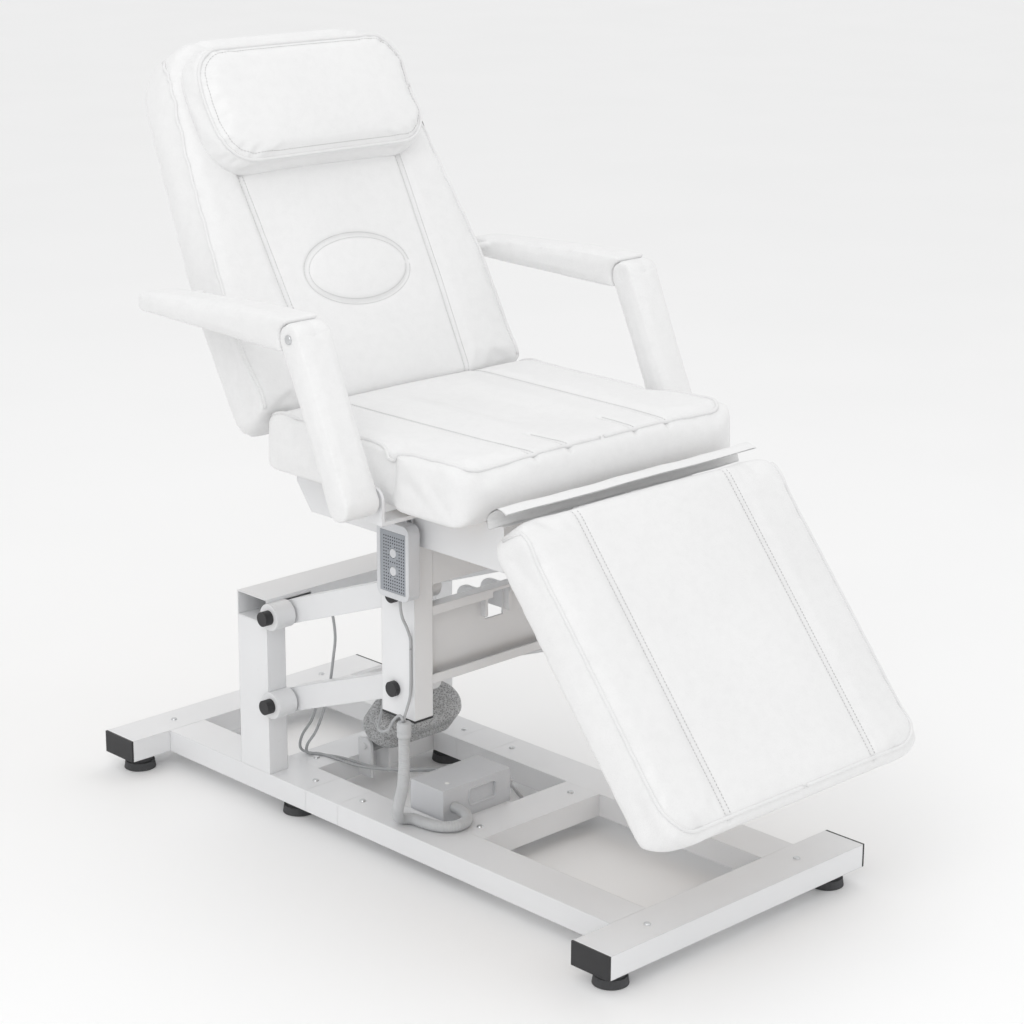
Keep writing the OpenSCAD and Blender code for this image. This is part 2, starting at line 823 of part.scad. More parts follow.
module leg_board() {
    color(wood) on_leg()
        translate([0, 0, leg_back]) linear_extrude(leg_board_t)
            round_rect([20 - leg_half, leg_start + 16], [leg_half - 20, leg_start + leg_len - 80], 30);
}

module leg_cushion() {
    side_r = 40;
    color(vinyl)
        intersection() {
            on_leg() translate([-leg_half, 0, 0]) rotate([90, 0, 90]) linear_extrude(2 * leg_half)
                difference() {
                    union() {
                        round_rect([leg_start, leg_back + leg_board_t],
                            [leg_start + leg_len, leg_front_out], leg_nose_r);
                        translate([leg_start, leg_back + leg_board_t]) square([leg_len - leg_heel_r, 40]);
                    }
                    translate([leg_start + leg_len - leg_heel_r, leg_back]) difference() {
                        translate([0, -1]) square([leg_heel_r + 1, leg_heel_r + 1]);
                        translate([0, leg_heel_r]) circle(leg_heel_r);
                    }
                }
            on_leg() linear_extrude(leg_front_out + 1)
                round_rect([-leg_half, leg_start - 1], [leg_half, leg_start + leg_len], side_r);
        }
}

// Folded vinyl strip that closes the gap between the seat and the legrest
module gap_flap() {
    half = 290;
    color(vinyl)
        along_x(-half, half) polygon([[-338, 704], [-318, 709], [-300, 700], [-294, 690],
            [-294, 672], [-298, 669], [-302, 672], [-300, 688], [-306, 697], [-319, 704], [-337, 699]]);
}

// ---- Handset ----

module handset_shell() {
    hook_x = -plate_x - 3.4;
    color(pale) difference() {
            union() {
                along_x(handset_x - handset[2], handset_x)
                    round_rect([handset_y - handset[0] / 2, handset_z],
                        [handset_y + handset[0] / 2, handset_z + handset[1]], 14);
                // hook over the holder
                box_at([handset_x - 5, handset_y - 12, handset_z + handset[1] - 20], [3, 24, 42]);
                box_at([handset_x - 5, handset_y - 12, hook_z + 1],
                    [hook_x - handset_x + 7, 24, 3]);
                box_at([hook_x, handset_y - 12, hook_z - 10], [2, 24, 14]);
            }
            box_at([handset_x - handset[2] - 1, handset_y - handset[0] / 2 + 8, handset_z + 10],
                [2.6, handset[0] - 16, handset[1] - 24]);
            for (z = [0, 30])
                bar_x(handset_x - handset[2] - 1, handset_x - handset[2] + 6,
                    [handset_y, handset_z + 46 + z], 9);
        }
}

module handset_keypad() {
    color(grey)
        difference() {
            box_at([handset_x - handset[2] + 0.2, handset_y - handset[0] / 2 + 8.3, handset_z + 10.3],
                [1.3, handset[0] - 16.6, handset[1] - 24.6]);
            for (z = [0, 30])
                bar_x(handset_x - handset[2] - 1, handset_x - handset[2] + 3,
                    [handset_y, handset_z + 46 + z], 8.4);
        }
}

module key(z) {
    color(pale)
        bar_x(handset_x - handset[2] - 0.6, handset_x - handset[2] + 4,
            [handset_y, handset_z + 46 + z], 8);
}

module up_button() {
    key(30);
}

module down_button() {
    key(0);
}

// ---- Actuator and gas springs ----

module actuator_motor() {
    reach = norm(act_high - act_low);
    turn = atan2(act_high[1] - act_low[1], act_high[0] - act_low[0]);
    color(grey)
        difference() {
            union() {
                rod(act_x, act_low, act_high, 8, 40, 13);
                rod(act_x, act_low, act_high, 30, reach - 190, 19);
                translate([act_x, act_low[0], act_low[1]]) rotate([turn - 90, 0, 0])
                    translate([0, 0, 34]) linear_extrude(62) union() {
                        circle(42);
                        translate([0, -42]) square([110, 84]);
                        translate([110, 0]) circle(42);
                    }
                bar_x(act_x - 16, act_x + 16, act_low, 14);
            }
            bar_x(act_x - 20, act_x + 20, act_low, 6.3);
            rod(act_x, act_low, act_high, 50, reach, 11.5);
        }
}

module actuator_rod() {
    reach = norm(act_high - act_low);
    color(bright) rod(act_x, act_low, act_high, 172, reach - 20, 11);
}

module spring_cylinder(low, high, body_len) {
    difference() {
        union() {
            rod(0, low, high, 9, body_len, 11);
            bar_x(-7, 7, low, 10);
        }
        bar_x(-8, 8, low, 4);
        rod(0, low, high, 30, body_len + 1, 4.4);
    }
    bar_x(-11.5, 11.5, low, 3.9);
}

module back_spring_cylinder() {
    color(dark) spring_cylinder(back_spring_low, back_spring_high, 150);
}

module back_spring_rod() {
    reach = norm(back_spring_high - back_spring_low);
    color(bright) rod(0, back_spring_low, back_spring_high, 104, reach - 19, 4);
}

module leg_spring_cylinder() {
    color(dark) spring_cylinder(leg_spring_low, leg_spring_high, 120);
}

module leg_spring_rod() {
    reach = norm(leg_spring_high - leg_spring_low);
    color(bright) rod(0, leg_spring_low, leg_spring_high, 60, reach - 24, 4);
}

// ---- Cords ----

module hose() {
    color(pale) cord(hose_route, hose_d, 12);
}

module lead_tail() {
    color(grey) cord(lead_tail_route, lead_d);
}

module handset_lead() {
    color(grey) cord(handset_lead_route, lead_d);
}

module motor_lead() {
    color(grey) cord(motor_lead_route, lead_d);
}

module arm_leads() {
    color(grey) {
        cord(upper_lead_route, lead_d);
        cord(lower_lead_route, lead_d);
    }
}

module mains_cord() {
    color(pale) cord(mains_route, mains_d);
}

module mains_coil() {
    color(pale)
        translate([coil_mid[0], coil_mid[1], 0])
            rotate_extrude() translate([coil_r - coil_wide / 2, 0]) square([coil_wide, coil_high]);
}

module mains_plug() {
    blade = [6.4, 1.6, 16];
    body = [24, 38, 22];
    at = [coil_mid[0] + 10, coil_mid[1] + 80, 0];
    color(pale) box_at(at, body);
    color(bright)
        for (x = [5, 17])
            box_at([at[0] + x, at[1] + body[1] - 2, 8], [blade[1], blade[2] + 2, blade[0]]);
}

foot_tubes();
rail_tubes();
cross_tubes();
left_rear_post();
right_rear_post();
arch_beam();
pivot_bosses();
foot_end_caps();
leveling_feet();
frame_screws();
base_brackets();
control_box();
rear_pivot_bolts();
rear_bolt_caps();
left_lower_arm();
right_lower_arm();
lower_arm_tie();
left_upper_arm();
right_upper_arm();
left_carriage_post();
right_carriage_post();
carriage_channel();
carriage_plate();
carriage_caps();
carriage_bolts();
seat_frame();
seat_board();
seat_cushion();
handset_holder();
left_arm_post();
right_arm_post();
left_arm_pad();
right_arm_pad();
back_frame();
back_board();
back_cushion();
head_pillow();
strap_buckle();
leg_frame();
leg_board();
leg_cushion();
gap_flap();
handset_shell();
handset_keypad();
up_button();
down_button();
actuator_motor();
actuator_rod();
back_spring_cylinder();
back_spring_rod();
leg_spring_cylinder();
leg_spring_rod();
hose();
lead_tail();
handset_lead();
motor_lead();
arm_leads();
mains_cord();
mains_coil();
mains_plug();
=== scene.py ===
import json
import math
import random

import bpy
import numpy as np
from mathutils import Matrix, Vector
from mathutils.bvhtree import BVHTree


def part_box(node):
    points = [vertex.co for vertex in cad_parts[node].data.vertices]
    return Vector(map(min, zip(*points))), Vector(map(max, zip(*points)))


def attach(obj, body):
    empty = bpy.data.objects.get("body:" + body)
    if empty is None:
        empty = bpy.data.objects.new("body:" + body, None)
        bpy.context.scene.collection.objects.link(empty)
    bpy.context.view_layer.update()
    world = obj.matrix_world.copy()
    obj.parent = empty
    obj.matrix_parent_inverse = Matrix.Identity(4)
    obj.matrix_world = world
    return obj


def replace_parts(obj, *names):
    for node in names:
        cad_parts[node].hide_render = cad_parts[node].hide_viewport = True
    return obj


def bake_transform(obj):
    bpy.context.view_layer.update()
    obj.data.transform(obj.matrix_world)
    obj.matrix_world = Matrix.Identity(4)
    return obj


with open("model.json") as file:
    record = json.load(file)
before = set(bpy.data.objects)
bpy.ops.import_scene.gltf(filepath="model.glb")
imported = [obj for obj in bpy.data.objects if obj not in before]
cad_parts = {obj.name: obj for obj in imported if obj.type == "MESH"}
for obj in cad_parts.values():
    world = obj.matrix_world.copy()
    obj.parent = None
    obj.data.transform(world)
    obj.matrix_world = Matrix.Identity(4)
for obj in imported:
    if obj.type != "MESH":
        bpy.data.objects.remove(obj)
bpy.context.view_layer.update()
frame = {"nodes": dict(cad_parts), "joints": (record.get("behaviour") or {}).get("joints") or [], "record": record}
NODES = frame["nodes"]
JOINTS = {j["name"]: j for j in frame["joints"]}
random.seed(7)
X = Vector((1, 0, 0))


# ---------------------------------------------------------------- camera

def look(location, target, lens, roll):
    data = bpy.data.cameras.new("camera")
    data.lens = lens
    data.sensor_width = 36
    cam = bpy.data.objects.new("camera", data)
    bpy.context.scene.collection.objects.link(cam)
    turn = (Vector(target) - Vector(location)).to_track_quat("-Z", "Y").to_matrix().to_4x4()
    cam.matrix_world = Matrix.Translation(location) @ turn @ Matrix.Rotation(math.radians(roll), 4, "Z")
    bpy.context.scene.camera = cam
    return cam


look((-2.8576, -2.9891, 1.8005), (0.3669, 0.3202, 0.4329), 90.8, 0.34)


# ---------------------------------------------------------------- mesh helpers

def new_object(name, verts, faces, material, smooth=True):
    mesh = bpy.data.meshes.new(name)
    mesh.from_pydata([tuple(v) for v in verts], [], faces)
    mesh.update()
    if smooth:
        mesh.polygons.foreach_set("use_smooth", [True] * len(mesh.polygons))
    obj = bpy.data.objects.new(name, mesh)
    bpy.context.scene.collection.objects.link(obj)
    if material:
        mesh.materials.append(material)
    return obj


class Build:
    """Collects vertices and faces of several shapes into one mesh."""

    def __init__(self):
        self.v, self.f = [], []

    def add(self, verts, faces):
        base = len(self.v)
        self.v += [Vector(p) for p in verts]
        self.f += [tuple(i + base for i in f) for f in faces]

    def tube(self, path, radius, sides=12, caps=True, closed=False):
        """A round tube along a path. radius is a number or one number for each point."""
        n = len(path)
        radii = radius if hasattr(radius, "__len__") else [radius] * n
        side = None
        verts = []
        for i, p in enumerate(path):
            a = path[(i - 1) % n] if closed or i else path[0]
            b = path[(i + 1) % n] if closed or i < n - 1 else path[-1]
            t = (Vector(b) - Vector(a)).normalized()
            if side is None:
                side = t.cross(Vector((0, 0, 1)) if abs(t.z) < 0.9 else X).normalized()
            side = (side - t * side.dot(t)).normalized()
            up = t.cross(side)
            for k in range(sides):
                w = 2 * math.pi * k / sides
                verts.append(Vector(p) + (side * math.cos(w) + up * math.sin(w)) * radii[i])
        faces = []
        for i in range(n if closed else n - 1):
            j = (i + 1) % n
            for k in range(sides):
                m = (k + 1) % sides
                faces.append((i * sides + k, i * sides + m, j * sides + m, j * sides + k))
        if caps and not closed:
            faces.append(tuple(range(sides - 1, -1, -1)))
            faces.append(tuple(range((n - 1) * sides, n * sides)))
        self.add(verts, faces)

    def lathe(self, at, axis, profile, sides=32):
        """Rings of (distance along axis, radius) around a line through at."""
        axis = Vector(axis).normalized()
        path = [Vector(at) + axis * d for d, r in profile]
        side = axis.cross(Vector((0, 0, 1)) if abs(axis.z) < 0.9 else X).normalized()
        up = axis.cross(side)
        verts = [p + (side * math.cos(2 * math.pi * k / sides) + up * math.sin(2 * math.pi * k / sides))
                 * max(r, 1e-5) for p, (d, r) in zip(path, profile) for k in range(sides)]
        faces = [(i * sides + k, i * sides + (k + 1) % sides, (i + 1) * sides + (k + 1) % sides,
                  (i + 1) * sides + k) for i in range(len(profile) - 1) for k in range(sides)]
        last = (len(profile) - 1) * sides
        faces += [tuple(range(sides - 1, -1, -1)), tuple(range(last, last + sides))]
        self.add(verts, faces)

    def block(self, low, high, bevel=0.002, steps=2, turn=None):
        """A box with rounded edges: a unit cube scaled to size and bevelled."""
        import bmesh
        bm = bmesh.new()
        bmesh.ops.create_cube(bm, size=1)
        low, high = Vector(low), Vector(high)
        size, mid = high - low, (high + low) / 2
        for v in bm.verts:
            v.co = Vector(v.co[i] * size[i] for i in range(3))
        bmesh.ops.bevel(bm, geom=bm.edges[:], offset=bevel, segments=steps, affect="EDGES", profile=0.5)
        verts = [(turn @ v.co if turn else v.co) + mid for v in bm.verts]
        bm.verts.index_update()
        self.add(verts, [tuple(v.index for v in f.verts) for f in bm.faces])
        bm.free()

    def make(self, name, material, body=None, smooth=True):
        obj = new_object(name, self.v, self.f, material, smooth)
        if body:
            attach(obj, body)
        return obj


def spline(points, step=0.006):
    """A smooth curve through the points, with a point about every step."""
    pts = [Vector(p) for p in points]
    out = []
    for i in range(len(pts) - 1):
        p0, p1, p2 = pts[max(i - 1, 0)], pts[i], pts[i + 1]
        p3 = pts[min(i + 2, len(pts) - 1)]
        n = max(2, int((p2 - p1).length / step))
        for k in range(n):
            t = k / n
            out.append(0.5 * ((2 * p1) + (p2 - p0) * t + (2 * p0 - 5 * p1 + 4 * p2 - p3) * t * t
                              + (3 * p1 - p0 - 3 * p2 + p3) * t ** 3))
    out.append(pts[-1])
    return out


# ---------------------------------------------------------------- materials

class Shade:
    """A Principled material put together from noise, cells and bump."""

    def __init__(self, name, color, rough, **sockets):
        self.m = bpy.data.materials.new(name)
        self.m.use_nodes = True
        self.n, self.l = self.m.node_tree.nodes, self.m.node_tree.links
        self.p = self.n["Principled BSDF"]
        self.p.inputs["Base Color"].default_value = (*color, 1)
        self.p.inputs["Roughness"].default_value = rough
        for key, value in sockets.items():
            self.p.inputs[key.replace("_", " ")].default_value = value
        self.color, self.rough = color, rough
        self.at = self.n.new("ShaderNodeTexCoord").outputs["Object"]
        self.height = None
        self.bumps = []

    def scaled(self, scale):
        m = self.n.new("ShaderNodeMapping")
        m.inputs["Scale"].default_value = scale
        self.l.new(self.at, m.inputs["Vector"])
        return m.outputs["Vector"]

    def noise(self, scale, detail=3, rough=0.5, stretch=None):
        t = self.n.new("ShaderNodeTexNoise")
        t.inputs["Scale"].default_value = scale
        t.inputs["Detail"].default_value = detail
        t.inputs["Roughness"].default_value = rough
        self.l.new(self.scaled(stretch) if stretch else self.at, t.inputs["Vector"])
        return t.outputs["Fac"]

    def cells(self, scale, feature="F1", stretch=None):
        t = self.n.new("ShaderNodeTexVoronoi")
        t.feature = feature
        t.inputs["Scale"].default_value = scale
        self.l.new(self.scaled(stretch) if stretch else self.at, t.inputs["Vector"])
        return t.outputs["Distance"]

    def ramp(self, value, stops):
        r = self.n.new("ShaderNodeValToRGB")
        while len(r.color_ramp.elements) < len(stops):
            r.color_ramp.elements.new(0.5)
        for e, (pos, c) in zip(r.color_ramp.elements, stops):
            e.position = pos
            e.color = (*c, 1) if hasattr(c, "__len__") else (c, c, c, 1)
        self.l.new(value, r.inputs["Fac"])
        return r.outputs["Color"]

    def tint(self, value, stops, amount=1.0):
        """Multiplies the colour so far by a ramp of the value."""
        mix = self.n.new("ShaderNodeMix")
        mix.data_type = "RGBA"
        mix.blend_type = "MULTIPLY"
        mix.inputs["Factor"].default_value = amount
        got = self.p.inputs["Base Color"]
        if got.is_linked:
            self.l.new(got.links[0].from_socket, mix.inputs["A"])
        else:
            mix.inputs["A"].default_value = (*self.color, 1)
        self.l.new(self.ramp(value, stops), mix.inputs["B"])
        self.l.new(mix.outputs["Result"], got)
        return self

    def vary_rough(self, value, low, high):
        m = self.n.new("ShaderNodeMapRange")
        m.inputs["From Min"].default_value = 0.3
        m.inputs["From Max"].default_value = 0.7
        m.inputs["To Min"].default_value = low
        m.inputs["To Max"].default_value = high
        self.l.new(value, m.inputs["Value"])
        self.l.new(m.outputs["Result"], self.p.inputs["Roughness"])
        return self

    def bump(self, value, strength, distance):
        b = self.n.new("ShaderNodeBump")
        b.inputs["Strength"].default_value = strength
        b.inputs["Distance"].default_value = distance
        self.l.new(value, b.inputs["Height"])
        if self.bumps:
            self.l.new(self.bumps[-1].outputs["Normal"], b.inputs["Normal"])
        self.bumps.append(b)
        self.l.new(b.outputs["Normal"], self.p.inputs["Normal"])
        return self

    def soft_edges(self, radius):
        b = self.n.new("ShaderNodeBevel")
        b.samples = 4
        b.inputs["Radius"].default_value = radius
        if self.bumps:
            self.l.new(b.outputs["Normal"], self.bumps[0].inputs["Normal"])
        else:
            self.l.new(b.outputs["Normal"], self.p.inputs["Normal"])
        return self


def vinyl(name, color):
    s = Shade(name, color, 0.42, Sheen_Weight=0.08, Coat_Weight=0.10, Coat_Roughness=0.38)
    s.tint(s.noise(3.5, 4), [(0.30, 0.955), (0.72, 1.0)])
    s.tint(s.noise(60, 2), [(0.25, 0.975), (0.6, 1.0)])
    # painted shade: the tint darkens the thin edges of the 1.2 mm grain cells, the same creases that the bump
    # below sinks
    s.tint(s.cells(820, "DISTANCE_TO_EDGE"), [(0.0, 0.90), (0.12, 1.0)])
    s.vary_rough(s.noise(9, 3), 0.36, 0.50)
    s.bump(s.noise(11, 3, 0.55, (1, 0.7, 1.3)), 0.30, 0.0045)
    s.bump(s.cells(820, "DISTANCE_TO_EDGE"), 0.28, 0.00025)
    s.bump(s.noise(2600, 2), 0.15, 0.0001)
    return s.m


def painted(name, color, rough, edge=0.0022):
    s = Shade(name, color, rough, Coat_Weight=0.15, Coat_Roughness=0.25)
    s.tint(s.noise(4, 4), [(0.30, 0.94), (0.70, 1.0)])
    s.tint(s.noise(90, 5, 0.7), [(0.27, 0.86), (0.34, 1.0)], 0.6)
    s.vary_rough(s.noise(14, 4), rough - 0.06, rough + 0.10)
    s.bump(s.noise(420, 2), 0.20, 0.0004)
    s.bump(s.noise(30, 2), 0.06, 0.002)
    s.soft_edges(edge)
    return s.m


def moulded(name, color, rough, grain=1500, depth=0.00025):
    s = Shade(name, color, rough)
    s.tint(s.noise(12, 3), [(0.30, 0.93), (0.70, 1.0)])
    s.tint(s.noise(grain, 2), [(0.35, 0.90), (0.65, 1.06)], 0.7)
    s.vary_rough(s.noise(25, 3), rough - 0.06, rough + 0.08)
    s.bump(s.noise(grain, 2), 0.35, depth)
    s.soft_edges(0.0012)
    return s.m


def metal(name, color, rough, lines=None):
    s = Shade(name, color, rough, Metallic=1.0)
    s.tint(s.noise(40, 4), [(0.30, 0.86), (0.70, 1.0)])
    s.vary_rough(s.noise(60, 4), max(rough - 0.08, 0.04), rough + 0.12)
    s.bump(s.noise(500, 3, 0.6, lines), 0.12, 0.0002)
    s.soft_edges(0.0006)
    return s.m


def mesh_cover(name, color):
    s = Shade(name, color, 0.66)
    # painted shade and painted light: the tint darkens the dimples of the cell pattern and lightens the ridges
    # between them, where the bump below sinks and raises the surface
    s.tint(s.cells(330), [(0.15, 0.42), (0.42, 1.0), (0.7, 1.3)])
    s.tint(s.noise(40, 3), [(0.30, 0.88), (0.70, 1.0)])
    s.vary_rough(s.noise(90, 2), 0.56, 0.75)
    s.bump(s.cells(330), 0.6, 0.0008)
    s.soft_edges(0.0012)
    return s.m


def plywood(name):
    s = Shade(name, (0.62, 0.46, 0.29), 0.62)
    s.tint(s.noise(9, 6, 0.65, (1, 9, 9)), [(0.30, (0.62, 0.55, 0.48)), (0.68, (1.0, 1.0, 1.0))])
    s.tint(s.noise(160, 4, 0.6, (0.12, 1, 1)), [(0.35, (0.78, 0.72, 0.66)), (0.60, (1.0, 1.0, 1.0))])
    s.bump(s.noise(200, 4, 0.6, (0.12, 1, 1)), 0.3, 0.0005)
    s.vary_rough(s.noise(20, 3), 0.52, 0.75)
    return s.m


def cable(name, color, rough):
    s = Shade(name, color, rough)
    s.tint(s.noise(30, 3), [(0.30, 0.88), (0.70, 1.0)])
    s.bump(s.noise(900, 3), 0.18, 0.0002)
    s.vary_rough(s.noise(50, 2), rough - 0.08, rough + 0.08)
    return s.m


VINYL = vinyl("vinyl_white", (0.86, 0.86, 0.86))
WELT = vinyl("vinyl_welt", (0.83, 0.83, 0.83))
THREAD = cable("thread", (0.46, 0.46, 0.455), 0.7)
STEEL = painted("steel_white", (0.80, 0.805, 0.815), 0.36)
BLACK = moulded("plastic_black", (0.022, 0.022, 0.024), 0.48)
RUBBER = moulded("rubber_dark", (0.060, 0.061, 0.064), 0.72, 900, 0.0005)
PALE = moulded("plastic_pale", (0.66, 0.67, 0.69), 0.40)
KEYPAD = moulded("keypad_grey", (0.33, 0.35, 0.38), 0.55, 2200, 0.0001)
MOTOR = moulded("motor_grey", (0.30, 0.305, 0.31), 0.62, 1100, 0.0006)
MOTOR_CASE = mesh_cover("motor_case_grey", (0.46, 0.465, 0.47))
LAMP = moulded("lamp_white", (0.88, 0.88, 0.87), 0.25)
ZINC = metal("zinc", (0.66, 0.67, 0.68), 0.32)
CHROME = metal("polished_rod", (0.78, 0.79, 0.80), 0.10, (1, 0.1, 0.1))
SPRING = painted("spring_black", (0.020, 0.020, 0.022), 0.34, 0.001)
PLY = plywood("plywood")
LEAD = cable("lead_grey", (0.44, 0.45, 0.46), 0.5)
HOSE = cable("hose_pale", (0.56, 0.57, 0.58), 0.46)
MAINS = cable("mains_pale", (0.62, 0.62, 0.63), 0.5)

SLOT_MATERIAL = {
    "white_steel": STEEL, "zinc_steel": ZINC, "polished_rod": CHROME, "black_plastic": BLACK,
    "leveler_rubber": RUBBER, "light_plastic": PALE, "keypad_grey": KEYPAD, "motor_grey": MOTOR,
    "spring_black": SPRING, "plywood": PLY, "white_vinyl": VINYL, "lead_grey": LEAD,
    "hose_pale": HOSE, "mains_pale": MAINS,
}
for part in frame["record"]["subparts"]:
    node = NODES[part["node"]]
    material = SLOT_MATERIAL[part["material_slot"]]
    for s in node.material_slots:
        s.material = material
    node.data.polygons.foreach_set("use_smooth", [False] * len(node.data.polygons))


# ---------------------------------------------------------------- cords

def cord_piece(name, node, body, route, d, material,
               sides=12, step=0.004, radii=None, between=None):
    path = route if step is None else spline(route, step)
    b = Build()
    b.tube(path, radii(path) if radii else d / 2, sides)
    obj = b.make(name, material, None)
    if node:
        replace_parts(obj, node)
    if between:
        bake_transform(obj)
    else:
        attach(obj, body)
    return obj


def ribs(path):
    """Radii of a ribbed hose, one rib about every 4 mm."""
    out, run = [], 0.0
    for i, p in enumerate(path):
        run += (p - path[i - 1]).length if i else 0
        out.append(0.0094 + 0.0006 * math.cos(run / 0.004 * 2 * math.pi))
    return out


mm = 0.001
HOSE_ROUTE = [Vector(p) * mm for p in [
    (-240, -54, 280), (-240, -54, 262), (-240, -54, 240), (-240, -54, 218), (-240, -53, 195),
    (-238, -48, 168), (-233, -36, 140), (-224, -20, 114), (-211, -4, 92), (-196, 2, 81),
    (-183, -10, 80), (-180, -38, 80), (-172, -66, 80), (-152, -84, 81), (-127, -82, 82),
    (-113, -66, 84), (-109, -48, 86), (-109, -32, 86)]]
HANDSET_ROUTE = [Vector(p) * mm for p in [
    (-241, -48, 492), (-241, -48, 478), (-237, -48, 458), (-228, -49, 438), (-222, -50, 420),
    (-221, -50, 410), (-221, -50, 401)]]
TAIL_ROUTE = [Vector(p) * mm for p in [
    (-221, -50, 400), (-221, -50, 380), (-221, -50, 340), (-224, -51, 318), (-232, -52, 300),
    (-238, -53, 288), (-239, -53, 281)]]
MOTOR_ROUTE = [Vector(p) * mm for p in [
    (-153, 96, 260), (-156, 94, 246), (-172, 82, 232), (-196, 60, 228), (-216, 30, 234),
    (-230, -4, 250), (-238, -24, 272), (-242, -42, 288), (-244, -53, 290), (-244, -55, 282.5)]]
UPPER_ROUTE = [Vector(p) * mm for p in [
    (-130, 262, 372), (-124, 260, 360), (-122, 256, 320), (-122, 262, 280), (-122, 272, 230),
    (-122, 288, 180), (-122, 312, 130), (-121, 338, 96), (-114, 346, 76), (-96, 336, 72.6),
    (-90, 296, 73), (-84, 250, 72), (-68, 196, 76), (-50, 130, 90), (-38, 82, 102), (-34, 51, 106)]]
LOWER_ROUTE = [Vector(p) * mm for p in [
    (-130, 300, 204), (-124, 304, 192), (-122, 322, 150), (-122, 350, 112), (-118, 362, 84),
    (-108, 356, 73), (-94, 326, 72.6), (-80, 290, 73), (-66, 240, 70), (-50, 180, 74),
    (-34, 120, 86), (-24, 80, 98), (-20, 51, 102)]]
MAINS_ROUTE = [Vector(p) * mm for p in [
    (24, -2, 80), (40, -2, 79), (58, -1, 68), (78, 0, 44), (100, 2, 20), (124, 4, 7), (150, 5, 3.6),
    (180, 4, 3.6), (210, 0, 3.6), (236, -10, 3.6), (258, -30, 3.6), (271, -60, 3.6),
    (278, -95, 3.6), (280, -125, 3.6)]]

cord_piece("hose_tube", "hose", None, HOSE_ROUTE, 0.020, HOSE, sides=16, step=0.001,
           radii=ribs,
           between=("lower_arms", "base", (-0.24, -0.054, 0.28), (-0.24, -0.054, 0.10)))
cord_piece("handset_lead_top", "handset_lead", None, HANDSET_ROUTE, 0.005, LEAD,
           between=("handset", "carriage", (-0.24, -0.05, 0.485), (-0.24, -0.05, 0.41)))
cord_piece("handset_lead_tail", "lead_tail", None, TAIL_ROUTE, 0.005, LEAD,
           between=("carriage", "lower_arms", (-0.22, -0.05, 0.37), (-0.22, -0.05, 0.29)))
cord_piece("arm_lead", "motor_lead", "lower_arms", MOTOR_ROUTE, 0.005, LEAD)
cord_piece("upper_arm_lead", "arm_leads", None, UPPER_ROUTE, 0.005, LEAD,
           between=("upper_arms", "base", (-0.13, 0.26, 0.37), (-0.13, 0.26, 0.12)))
cord_piece("lower_arm_lead", None, None, LOWER_ROUTE, 0.005, LEAD,
           between=("lower_arms", "base", (-0.13, 0.30, 0.20), (-0.13, 0.30, 0.10)))

# The mains cord runs along the floor into a coil: three turns inwards, three outwards, half a turn
COIL = Vector((0.320, -0.172, 0))
LAYERS = [(0.0440, 0.0036), (0.0370, 0.0036), (0.0300, 0.0036), (0.0300, 0.0107), (0.0370, 0.0107),
          (0.0440, 0.0107), (0.0405, 0.0178)]


def coil_points():
    out = []
    turns = 6.5
    count = int(turns * 40)
    for i in range(count + 1):
        t = i / 40
        k = min(int(t), len(LAYERS) - 1)
        r0, z0 = LAYERS[k]
        r1, z1 = LAYERS[min(k + 1, len(LAYERS) - 1)]
        w = min(max((t - k - 0.75) / 0.25, 0), 1)
        w = w * w * (3 - 2 * w)
        angle = math.pi + 2 * math.pi * t
        r, z = r0 + (r1 - r0) * w, z0 + (z1 - z0) * w
        out.append(COIL + Vector((r * math.cos(angle), r * math.sin(angle), z)))
    return out


plug_low, plug_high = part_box("mains_plug")
coil = coil_points()
plug_in = Vector((plug_low.x + 0.012, plug_low.y, 0.011))
mains_path = spline(MAINS_ROUTE, 0.006)[:-1] + coil + spline(
    [coil[-1], coil[-1] + Vector((0, 0.012, -0.001)), plug_in - Vector((-0.004, 0.016, -0.001)),
     plug_in], 0.006)[1:]


def plug_piece():
    b = Build()
    mid = (plug_low + plug_high) / 2
    y0 = plug_low.y
    prof = [(0, 0.0048), (0.002, 0.0056), (0.010, 0.0064), (0.016, 0.0095), (0.018, 0.0105)]
    b.lathe((mid.x, y0 - 0.001, 0.011), (0, 1, 0), prof, 20)
    b.block((plug_low.x, y0 + 0.012, 0.0), (plug_high.x, y0 + 0.038, 0.022), 0.004, 4)
    for k in range(4):
        b.block((plug_low.x + 0.003, y0 + 0.018 + k * 0.004, 0.0215),
                (plug_high.x - 0.003, y0 + 0.0195 + k * 0.004, 0.0225),
                0.0003, 1)
    body = b.make("mains_plug_body", PALE, "base")
    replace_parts(body, "mains_plug")
    c = Build()
    for x in (5, 17):
        c.block((plug_low.x + x * mm, y0 + 0.036, 0.008),
                (plug_low.x + (x + 1.6) * mm, plug_high.y, 0.0144), 0.0005, 2)
    blades = c.make("mains_plug_blades", ZINC, "base")
    return body, blades


plug_body, plug_blades = plug_piece()
cord_piece("mains_cord_run", "mains_cord", "base", mains_path, 0.0068, MAINS,
           step=None)
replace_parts(bpy.data.objects["mains_cord_run"], "mains_coil")
relief = Build()
relief.lathe((0.024, -0.002, 0.080), (1, 0, 0), [(-0.003, 0.0075), (0.002, 0.0075), (0.004, 0.0058),
                                                 (0.030, 0.0040), (0.032, 0.0036)], 20)
relief.make("mains_strain_relief", MAINS, "base")


# ---------------------------------------------------------------- soft goods

class Plane:
    """Local frame of a cushion: x across, a along, out of its face."""

    def __init__(self, origin, along, out, above=0.25):
        self.o, self.u, self.n = Vector(origin), Vector(along).normalized(), Vector(out).normalized()
        self.above = above

    def at(self, x, a, out=0.0):
        return self.o + X * x + self.u * a + self.n * out

    def local(self, co):
        d = co - np.array(self.o)
        return d[:, 0], d @ np.array(self.u), d @ np.array(self.n)


